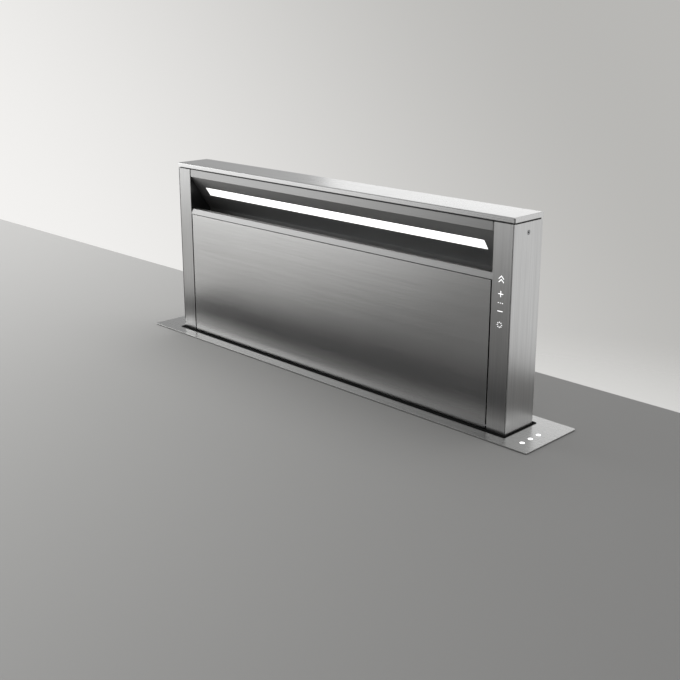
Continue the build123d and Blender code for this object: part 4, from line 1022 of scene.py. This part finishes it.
class Facing(Enum):
    """The side that an upright face looks to, by its across direction as seen from outside."""

    FRONT = (1, 0, 0)
    BACK = (-1, 0, 0)
    RIGHT = (0, 1, 0)
    LEFT = (0, -1, 0)

    def face(self, distance: float) -> Drawing:
        """Returns the upright plane on that side, at a distance from the object's middle."""
        across, up = Vector(self.value), Vector((0, 0, 1))
        return Drawing(across.cross(up) * distance, across, up)


def grid_places(across: Sequence[float], up: Sequence[float]) -> np.ndarray:
    """Returns every pair of an across and an up place, as rows."""
    return np.stack(np.meshgrid(across, up), axis=-1).reshape(-1, 2)


# ---------------------------------------------------------------- the finishes of this object
STEEL = (0.60, 0.60, 0.595)
ZINC_TONE = (0.7272, 0.7373, 0.7474)
ALUMINIUM_TONE = (0.74, 0.75, 0.76)
LEVEL_STEEL = BrushedSteel("brushed_level", STEEL, sheen=Sheen.LEVEL_GRAIN)
# stainless tone lowered: painted shade on the header strip under the cap
HEADER_STEEL = BrushedSteel("brushed_header", (0.42, 0.42, 0.416), sheen=Sheen.LEVEL_GRAIN)
SILL_STEEL = BrushedSteel("brushed_sill", (0.48, 0.48, 0.476), sheen=Sheen.LEVEL_GRAIN)
# stainless tone raised: painted highlight on the cap and its rim
CAP_STEEL = BrushedSteel("brushed_cap", (0.64, 0.64, 0.635), roughness=0.29, contrast=0.16)
UPRIGHT_STEEL = BrushedSteel(
    "brushed_upright", STEEL, grain=Grain.ALONG_Z, sheen=Sheen.UPRIGHT_GRAIN, contrast=0.36
)
PANEL_STEEL = BrushedSteel("brushed_panel", (0.62, 0.62, 0.615), roughness=0.225, sheen=Sheen.LEVEL_GRAIN)
COLUMN_STEEL = ColumnSteel("brushed_column", STEEL, contrast=0.24)
# stainless tone lowered: painted shade that dims the flange's reflections
FLAT_STEEL = BrushedSteel("brushed_flat", (0.52, 0.52, 0.515), roughness=0.28)
# stainless tone lowered: painted shade on the light deflector
SHADED_STEEL = BrushedSteel("brushed_shaded", (0.44, 0.44, 0.437), roughness=0.42, contrast=0.08)
GALVANISED = GalvanisedSheet("galvanised", (0.60, 0.62, 0.64))
ZINC = PlatedSteel("bright_zinc", ZINC_TONE)
ZINC_UPRIGHT = PlatedSteel("bright_zinc_upright", ZINC_TONE, grain=Grain.ALONG_Z)
ZINC_DEEP = PlatedSteel("bright_zinc_deep", ZINC_TONE, grain=Grain.ALONG_Y)
SOCKET_STEEL = SocketHead("socket_screw_zinc", ZINC_TONE)
ALUMINIUM = Aluminium("aluminium_level", ALUMINIUM_TONE)
ALUMINIUM_UPRIGHT = Aluminium("aluminium_upright", ALUMINIUM_TONE, grain=Grain.ALONG_Z)
FILTER_MESH = KnittedMesh("filter_mesh", (0.665, 0.6745, 0.684))
BLACK_PLASTIC = MouldedPlastic("black_plastic", (0.045, 0.045, 0.048))
GREY_PLASTIC = MouldedPlastic("grey_plastic", (0.30, 0.31, 0.32), dust=0.04)
NYLON = MouldedPlastic("natural_nylon", (0.80, 0.79, 0.73), roughness=0.40, dust=0.04)
BLACK_RUBBER = Rubber("black_rubber", (0.022, 0.022, 0.023))
# the lip's own black rubber, made darker still: partly painted shade in the slot
LIP_RUBBER = Rubber("lip_rubber", (0.004, 0.004, 0.004), bloom=0.01, specular=0.08)
BELT_RUBBER = BeltRubber("belt_rubber", (0.020, 0.020, 0.021))
MOTOR_ENAMEL = Enamel("motor_enamel", (0.045, 0.045, 0.048))
# painted shade: the top plate, seen in the gap under the cap, is made near black to darken the shadow line
SHADOW_GAP_BLACK = Enamel("shadow_gap_black", (0.010, 0.010, 0.010))
OPAL = LitOpal("opal_lit", (0.95, 0.95, 0.94))
LIT_MARK = LitMark("lit_mark", (0.95, 0.95, 0.95))
LIT_LENS = LitMark("lit_lens", (0.95, 0.95, 0.95), glow=1.0)
BOARD = SolderMask("solder_mask", (0.035, 0.17, 0.075))


# ---------------------------------------------------------------- the object
class Assembly(ABC):
    """A sub-assembly: the finishes of its CAD nodes, and the new pieces that go with them."""

    finishes: ClassVar[Mapping[Finish, str]]

    def dress(self) -> None:
        """Gives each CAD node its finish."""
        for finish, names in self.finishes.items():
            for name in names.split():
                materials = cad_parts[name].data.materials
                materials.clear()
                materials.append(finish.material())
                log.info("%s in %s", name, finish.label)

    def build(self) -> list[bpy.types.Object]:
        """Returns the new pieces."""
        return []

    @staticmethod
    def add(name: str, patches: Sequence[Patch], body: str, slot: str, finish: Finish) -> bpy.types.Object:
        """Makes and dresses a new piece that rides on a body.

        Args:
            name: The piece's name.
            patches: Its surfaces.
            body: The body that it moves with.
            slot: Its material slot; not used.
            finish: Its finish.

        Returns:
            The piece.
        """
        piece = piece_of(name, patches)
        piece.data.materials.append(finish.material())
        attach(piece, body)
        return piece

    def fixings(self, name: str, patches: Sequence[Patch], body: str = "housing") -> bpy.types.Object:
        """Returns a piece made of zinc-plated screws or rivets."""
        return self.add(name, patches, body, "zinc_fixings", ZINC)


@dataclass
class Tower(Assembly):
    """The part that lifts out of the worktop: columns, cap, light and touch symbols."""

    symbol_x: float = 364.4 * MM
    symbol_width: float = 8.8 * MM
    symbol_line: float = 0.9 * MM
    symbol_proud: float = 0.06 * MM
    faster_z: tuple[float, float] = (228.0 * MM, 233.0 * MM)
    chevron_rise: float = 4.4 * MM
    plus_z: float = 211.4 * MM
    dots_z: float = 198.3 * MM
    dot_radius: float = 0.7 * MM
    dot_pitch: float = 3.6 * MM
    dot_steps: int = 20
    minus_z: float = 186.2 * MM
    lamp_z: float = 166.3 * MM
    ray_count: int = 8
    ray_ends: Span = (2.9 * MM, 4.6 * MM)
    rivet_x: float = 366.0 * MM
    rivet_rows: tuple[float, float, float] = (-0.060, 0.301, 0.060)  # first, end and pitch
    dot_section: ClassVar[Sequence[Span]] = ((1.0, 0.0), (1.0, 1.0), (0.3, 1.0))
    finishes = {
        CAP_STEEL: "top_cap",
        HEADER_STEEL: "header_fascia",
        SILL_STEEL: "sill_rail",
        LEVEL_STEEL: "rear_panel lower_front_plate",
        COLUMN_STEEL: "column_left column_right",
        UPRIGHT_STEEL: "side_plate_left side_plate_right",
        SHADED_STEEL: "light_deflector",
        OPAL: "light_lens",
        ALUMINIUM: "light_channel",
        FILTER_MESH: "grease_filters",
        # painted shade in the gap under the cap
        SHADOW_GAP_BLACK: "top_plate",
        GALVANISED: "filter_frame carriage_frame",
        SOCKET_STEEL: "side_screws",
        BLACK_PLASTIC: "filter_latches belt_clamps",
        MOTOR_ENAMEL: "panel_magnets",
        BOARD: "light_board touch_board",
        NYLON: "guide_shoes",
    }

    def symbols(self) -> list[np.ndarray]:
        """Draws the touch symbols: two chevrons, plus, dots, minus and a lamp.

        Returns:
            The outline of each stroke and dot, as points (across, up, out).
        """
        x, half = self.symbol_x, self.symbol_width / 2
        paths = [[(x - half, z), (x, z + self.chevron_rise), (x + half, z)] for z in self.faster_z]
        paths += [[(x - half, z), (x + half, z)] for z in (self.plus_z, self.minus_z)]
        for side in (-1, 1):
            start = self.plus_z + side * self.symbol_line / 2
            paths.append([(x, start), (x, self.plus_z + side * half)])
        for turn in even_turns(self.ray_count):
            paths.append([(x + end * cos(turn), self.lamp_z + end * sin(turn)) for end in self.ray_ends])
        strokes = [stroke(np.array(path), self.symbol_line, self.symbol_proud) for path in paths]
        dot = lathed(self.dot_section, self.dot_radius, self.symbol_proud, self.dot_steps)
        return strokes + [dot + [x + step * self.dot_pitch, self.dots_z, 0.0] for step in (-1, 0, 1)]

    def build(self) -> list[bpy.types.Object]:
        """Puts the lit symbols on the right column, and rivets the rear panel to both columns.

        Returns:
            The symbols and the rivets.
        """
        front = Facing.FRONT.face(-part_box("column_right")[0].y)
        back = Facing.BACK.face(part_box("rear_panel")[1].y)
        symbols = [Patch(front.to_space(shape)) for shape in self.symbols()]
        places = grid_places((-self.rivet_x, self.rivet_x), np.arange(*self.rivet_rows))
        return [
            self.add("touch_symbols", symbols, "tower", "opal_light", LIT_MARK),
            self.fixings("rear_panel_rivets", RivetHead().row(back, places), "tower"),
        ]


class FrontPanel(Assembly):
    """The large panel that tilts open, with its pins and stiffener."""

    finishes = {PANEL_STEEL: "front_panel", ZINC: "hinge_pins", GALVANISED: "panel_stiffener"}


class Flange(Assembly):
    """The plate that lies on the worktop, its seal, its lip and its lit lenses."""

    finishes = {
        FLAT_STEEL: "worktop_flange",
        BLACK_RUBBER: "flange_seal",
        LIP_RUBBER: "slot_lip",
        LIT_LENS: "indicator_lenses",
    }


@dataclass
class Casing(Assembly):
    """The sheet casing under the worktop and what fixes it."""

    seam_x: float = 403.0 * MM
    seam_rows: tuple[float, float, float] = (-0.620, -0.019, 0.060)  # first, end and pitch
    foot_z: float = -634.0 * MM
    foot_places: tuple[float, ...] = (-0.36, -0.30, 0.02, 0.08, 0.14, 0.20, 0.26, 0.32, 0.38)
    tray_places: tuple[float, ...] = (-0.38, -0.30, -0.20, -0.10, 0.0, 0.10, 0.20, 0.30, 0.38)
    rail_y: float = 20.0 * MM
    rail_rows: tuple[float, float, float] = (-0.430, -0.079, 0.070)  # first, end and pitch
    bracket_y: float = 18.0 * MM
    bracket_z: float = -620.0 * MM
    clamp_z: float = -48.0 * MM
    sheet_out: float = 47.2 * MM
    legs_out: float = 414.2 * MM
    finishes = {
        GALVANISED: "casing_back casing_front casing_bottom worktop_clamps support_brackets",
        ZINC_UPRIGHT: "clamp_screws",
    }

    def build(self) -> list[bpy.types.Object]:
        """Fixes the sheets, the guide rails, and the clamps and brackets of both ends.

        Screws hold the front sheet along its sides and foot, and the clamps and brackets. Rivets
        hold the rails to the end walls, and the bottom tray to the back sheet.

        Returns:
            The screws and the rivets.
        """
        screw, rivet = ScrewHead(), RivetHead()
        front, back = Facing.FRONT.face(self.sheet_out), Facing.BACK.face(self.sheet_out)
        screws = screw.row(front, grid_places((-self.seam_x, self.seam_x), np.arange(*self.seam_rows)))
        screws += screw.row(front, grid_places(self.foot_places, (self.foot_z,)))
        rivets = rivet.row(back, grid_places(self.tray_places, (self.foot_z,)))
        for side, turn in ((Facing.LEFT, 1.0), (Facing.RIGHT, -1.0)):
            legs, wall = side.face(self.legs_out), side.face(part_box("casing_back")[1].x)
            screws += screw.row(legs, grid_places((-self.bracket_y, self.bracket_y), (self.bracket_z,)))
            screws += screw.row(legs, np.array([[0.0, self.clamp_z]]))
            rivets += rivet.row(wall, grid_places((turn * self.rail_y,), np.arange(*self.rail_rows)))
        return [self.fixings("casing_screws", screws), self.fixings("casing_rivets", rivets)]


class Lift(Assembly):
    """The belt lift: rails, belts, pulleys, cross shaft and gearmotor."""

    finishes = {
        ALUMINIUM_UPRIGHT: "guide_rails",
        ALUMINIUM: "drive_pulleys shaft_bearings",
        GALVANISED: "idler_brackets",
        NYLON: "idler_pulley_left idler_pulley_right",
        BELT_RUBBER: "drive_belts",
        ZINC: "cross_shaft",
        MOTOR_ENAMEL: "lift_gearmotor",
    }


@dataclass
class Blower(Assembly):
    """The centrifugal blower with its motor, and the outlet with its flaps."""

    motor_x: float = -90.0 * MM
    motor_z: float = -400.0 * MM
    plate_front: float = 133.2 * MM
    plate_reach: float = 62.0 * MM
    mount_turns: tuple[float, ...] = (30.0, 150.0, 270.0)
    outlet_steps: int = 96
    head_half_width: float = 75.5 * MM
    head_half_depth: float = 38.5 * MM
    head_corner: float = 8.0 * MM
    outlet_wall: float = 2.5 * MM
    collar_height: float = 44.0 * MM
    collar_step: float = 2.5 * MM
    collar_wall: float = 1.6 * MM
    finishes = {
        BLACK_PLASTIC: "scroll_housing scroll_cover fan_impeller",
        ZINC_DEEP: "inlet_guard motor_shaft damper_pin",
        MOTOR_ENAMEL: "blower_motor",
        BLACK_RUBBER: "motor_mounts",
        ALUMINIUM: "damper_flap_left damper_flap_right",
    }

    def outlet(self) -> bpy.types.Object:
        """Makes the outlet: a hopper from the scroll's mouth to a round collar, with an even wall.

        Rings go down the outside from the mouth to the collar's foot, and up the inside to the
        mouth again. Each ring has its own middle, so the hopper leans forward as it comes down.

        Returns:
            The outlet, which is shown in place of the CAD node.
        """
        low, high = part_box("outlet_adaptor")
        half = (high.x - low.x) / 2
        middle_x, foot_y, head_y = low.x + half, low.y + half, high.y - self.head_half_depth
        foot_z = low.z + self.collar_height
        wide, deep, wall = self.head_half_width, self.head_half_depth, self.outlet_wall
        outer = half - self.collar_step
        inner = outer - self.collar_wall
        mouth = level_ring(self.outlet_steps, wide, deep, self.head_corner)
        bore = level_ring(self.outlet_steps, wide - wall, deep - wall, self.head_corner)
        skirt = level_ring(self.outlet_steps, half, half, self.head_corner)
        circle = skirt / np.linalg.norm(skirt, axis=1, keepdims=True)
        rings = (
            (mouth, head_y, high.z),
            (skirt, foot_y, foot_z),
            (circle * outer, foot_y, foot_z),
            (circle * outer, foot_y, low.z),
            (circle * inner, foot_y, low.z),
            (circle * inner, foot_y, foot_z),
            (bore, head_y, high.z),
        )
        flat = np.zeros((self.outlet_steps, 1))
        grid = np.stack([np.hstack([ring + [middle_x, y], flat + z]) for ring, y, z in rings])
        piece = self.add(
            "outlet_hopper", [Patch(grid, along=True)], "housing", "black_plastic", BLACK_PLASTIC
        )
        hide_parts("outlet_adaptor")
        return piece

    def build(self) -> list[bpy.types.Object]:
        """Makes the outlet, and screws the motor's plate to its three rubber mounts.

        Returns:
            The outlet and the screws.
        """
        places = turned(self.plate_reach, np.radians(self.mount_turns), 0.0)[:, :2]
        screw = ScrewHead(radius=4.2 * MM, height=2.0 * MM)
        screws = screw.row(Facing.FRONT.face(self.plate_front), places + [self.motor_x, self.motor_z])
        return [self.outlet(), self.fixings("motor_plate_screws", screws)]


@dataclass
class Electronics(Assembly):
    """The control box on the casing's front, with its board and gland."""

    screw_inset: float = 9.0 * MM
    finishes = {
        GREY_PLASTIC: "electronics_box electronics_lid",
        BOARD: "control_board",
        BLACK_PLASTIC: "cable_gland",
    }

    def build(self) -> list[bpy.types.Object]:
        """Screws the lid on at its four corners.

        Returns:
            The screws.
        """
        low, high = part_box("electronics_lid")
        across, up = ((low[i] + self.screw_inset, high[i] - self.screw_inset) for i in (0, 2))
        screw = ScrewHead(radius=3.0 * MM, recess=1.7 * MM)
        return [self.fixings("lid_screws", screw.row(Facing.FRONT.face(-low.y), grid_places(across, up)))]


# ---------------------------------------------------------------- the studio
@dataclass(frozen=True)
class Softbox:
    """A soft lamp: where it stands, what it faces, its size and its power in watts."""

    name: str
    place: tuple[float, float, float]
    faces: tuple[float, float, float]
    width: float
    height: float
    power: float

    def build(self) -> None:
        """Adds the lamp as a rectangular area light."""
        lamp = bpy.data.lights.new(self.name, "AREA")
        lamp.shape = "RECTANGLE"
        lamp.size = self.width
        lamp.size_y = self.height
        lamp.energy = self.power
        holder = bpy.data.objects.new(self.name, lamp)
        holder.location = self.place
        holder.rotation_euler = (Vector(self.faces) - Vector(self.place)).to_track_quat("-Z", "Y").to_euler()
        bpy.context.scene.collection.objects.link(holder)


@dataclass
class Worktop:
    """A slab with a cut-out; metal mirrors it as a painted reflection, darker and with a black card.

    Its own tone carries painted shade: it goes from pale to dark along (1, shade_turn, 0). The
    mirrored tone goes from pale at the left to dark at the right, and the card's edges are soft.
    """

    left: float = -1.9
    right: float = 0.95
    front: float = -0.88
    back: float = 0.235
    thickness: float = 0.022
    hole_half_width: float = 0.417
    hole_half_depth: float = 0.052
    tone: Colour = (0.48, 0.477, 0.467)
    # painted shade: the slab's tone towards the right and the back
    shaded_tone: Colour = (0.195, 0.194, 0.190)
    shade_turn: float = 0.6
    shade_span: Span = (-1.3, 0.8)
    mirrored_tone: Colour = (0.18, 0.178, 0.175)
    mirrored_pale: Colour = (0.62, 0.615, 0.605)
    mirrored_span: Span = (0.0, 0.8)
    # the black card exists only in the painted reflection
    mirrored_card_tone: Colour = (0.015, 0.015, 0.016)
    card_middle: float = 0.01
    card_sides: Span = (0.52, 0.64)
    card_near: Span = (-0.35, -0.15)
    card_far: Span = (0.085, 0.125)

    def build(self) -> None:
        """Lays the slab: its section is carried round the hole, from the hole's edge and back under."""
        signs = np.array([[-1, -1], [1, -1], [1, 1], [-1, 1]])
        hole = signs * [self.hole_half_width, self.hole_half_depth]
        outer = np.where(signs < 0, [self.left, self.front], [self.right, self.back])
        top = np.zeros((4, 1))
        foot = top - self.thickness
        section = ((hole, foot), (hole, top), (outer, top), (outer, foot))
        grid = np.stack([np.hstack(corner) for corner in section], axis=1)
        slab = piece_of("worktop", [Patch(grid, along=True)])
        slab.data.materials.append(self.material())
        slab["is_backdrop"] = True

    def material(self) -> bpy.types.Material:
        """Makes the matt material with its painted shade and its painted reflection.

        Returns:
            The material.
        """
        material = PlainMatt("plain_worktop", self.tone).material()
        board = NodeBoard(material.node_tree)
        across, deep, _ = board.axes()
        # painted shade: darker towards the right and the back
        shade = (across + deep * self.shade_turn).smooth_step(*self.shade_span)
        own = board.find("ShaderNodeBsdfPrincipled").inputs["Base Color"]
        board.tree.links.new(board.blend(shade, self.tone, self.shaded_tone), own)
        # painted reflection: glossy rays see a pale-to-dark tone with a black card on it
        sides = 1.0 - abs(across - self.card_middle).smooth_step(*self.card_sides)
        card = sides * deep.smooth_step(*self.card_near) * (deep * -1.0).smooth_step(*self.card_far)
        paler = (across * -1.0).smooth_step(*self.mirrored_span)
        top = board.blend(paler, self.mirrored_tone, self.mirrored_pale)
        mirrored = board.add("ShaderNodeEmission", {}, {"Color": board.blend(card, top, self.mirrored_card_tone)})
        board.overlay(board.ray("Is Glossy Ray"), mirrored.outputs[0])
        return material


@dataclass
class Floor:
    """A round floor under the object, which fades into the backdrop and isn't mirrored."""

    radius: float = 2.6
    fade_from: float = 1.2  # square of the distance, like the radius**2 where it ends
    rings: int = 12
    steps: int = 96
    tone: Colour = (0.72, 0.715, 0.70)

    def build(self) -> None:
        """Lays the floor: radius and angle give each point."""
        radius = np.linspace(0.0, self.radius, self.rings)[:, None]
        disc = turned(radius, even_turns(self.steps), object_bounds()[0][2])
        floor = piece_of("floor", [Patch(disc, capped=False)], turned_out=False)
        material = PlainMatt("plain_floor", self.tone).material()
        board = NodeBoard(material.node_tree)
        across, deep, _ = board.axes()
        away = (across * across + deep * deep).smooth_step(self.fade_from, self.radius**2)
        clear = board.add("ShaderNodeBsdfTransparent", {}, {})
        board.overlay(away + (1.0 - away) * board.ray("Is Glossy Ray"), clear.outputs[0])
        floor.data.materials.append(material)
        floor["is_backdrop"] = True


@dataclass
class Studio:
    """The plain stage, its soft lamps and the camera at the photograph's viewing angle."""

    wall_left: Colour = (0.91, 0.90, 0.885)
    wall_right: Colour = (0.48, 0.475, 0.46)
    wall_way: tuple[float, float, float] = (0.705, 0.709, 0.0)
    wall_lift: float = 0.108
    wall_rise: float = 0.6
    wall_span: Span = (-0.42, 0.30)
    ambient: float = 0.78
    mirrored_front: float = 0.24
    mirrored_back: float = 0.85
    mirrored_way: tuple[float, float, float] = (0.70, 0.714, 0.0)
    mirrored_span: Span = (-0.9, 1.1)
    left_wall: float = 1.38
    left_way: tuple[float, float, float] = (-0.94, -0.341, 0.0)
    left_span: Span = (0.785, 0.95)
    lens: float = 54.37
    sensor: float = 36.0
    camera_place: tuple[float, float, float] = (1.1894, -1.1704, 0.5893)
    camera_yaw: float = 45.18
    camera_pitch: float = 15.58
    camera_shift: float = -0.0588
    lamps: ClassVar[Sequence[Softbox]] = (
        Softbox("window", (-1.22, 2.4, 0.74), (0.0, 0.0, 0.2), 1.9, 0.65, 4.1),
        Softbox("left_bank", (-3.0, -0.4, 1.0), (0.0, 0.0, 0.0), 1.6, 1.2, 24.0),
        Softbox("front_fill", (1.0, -3.0, 0.5), (0.0, 0.0, 0.0), 1.8, 1.6, 7.0),
        Softbox("overhead", (0.0, 0.6, 2.8), (0.0, 0.0, 0.0), 2.6, 2.0, 22.0),
    )

    def build_world(self) -> None:
        """Sets the backdrop that the camera sees, the room that metal mirrors, and an even light.

        The backdrop goes from one tone to the other with the direction's share along wall_way, and
        gets darker with its rise. The room gets brighter along mirrored_way, and has a bright wall
        along left_way.
        """
        world = bpy.data.worlds.new("studio")
        bpy.context.scene.world = world
        world.use_nodes = True
        world.node_tree.nodes.clear()
        board = NodeBoard(world.node_tree)
        way = board.add("ShaderNodeTexCoord", {}, {}).outputs["Generated"]
        rise = board.value("ShaderNodeSeparateXYZ", {}, {0: way}, 2)
        share = board.dot(way, self.wall_way) + (rise + self.wall_lift) * self.wall_rise
        backdrop = board.blend(share.smooth_step(*self.wall_span), self.wall_left, self.wall_right)
        behind = board.dot(way, self.mirrored_way).smooth_step(*self.mirrored_span)
        glow = board.dot(way, self.left_way).smooth_step(*self.left_span)
        room = self.mirrored_front + behind * (self.mirrored_back - self.mirrored_front)
        level = self.ambient + board.ray("Is Glossy Ray") * (room + glow * self.left_wall - self.ambient)
        lights = ({"Color": (1.0, 1.0, 1.0, OPAQUE), "Strength": level}, {"Color": backdrop, "Strength": 1.0})
        fill, wall = (board.add("ShaderNodeBackground", {}, light).outputs[0] for light in lights)
        surface = board.mixed(board.ray("Is Camera Ray"), fill, wall)
        board.add("ShaderNodeOutputWorld", {}, {"Surface": surface})

    def build_camera(self) -> None:
        """Places the camera: it looks down by the pitch, turned left from +Y by the yaw."""
        lens = bpy.data.cameras.new("camera")
        lens.lens = self.lens
        lens.sensor_width = self.sensor
        lens.shift_y = self.camera_shift
        camera = bpy.data.objects.new("camera", lens)
        camera.location = self.camera_place
        turn = (radians(90.0 - self.camera_pitch), 0.0, radians(self.camera_yaw))
        camera.rotation_euler = Euler(turn, "XYZ")
        bpy.context.scene.collection.objects.link(camera)
        bpy.context.scene.camera = camera

    def build(self) -> None:
        """Builds the whole studio."""
        Worktop().build()
        Floor().build()
        self.build_world()
        for lamp in self.lamps:
            lamp.build()
        self.build_camera()
        bpy.context.scene.view_settings.view_transform = "Standard"


def main() -> None:
    """Sets up the studio, dresses the CAD nodes, and builds the new pieces."""
    logging.basicConfig(level=logging.INFO, format="%(message)s")
    Studio().build()
    for assembly in (Tower(), FrontPanel(), Flange(), Casing(), Lift(), Blower(), Electronics()):
        assembly.dress()
        for piece in assembly.build():
            log.info("built %s", piece.name)


if __name__ == "__main__":
    main()
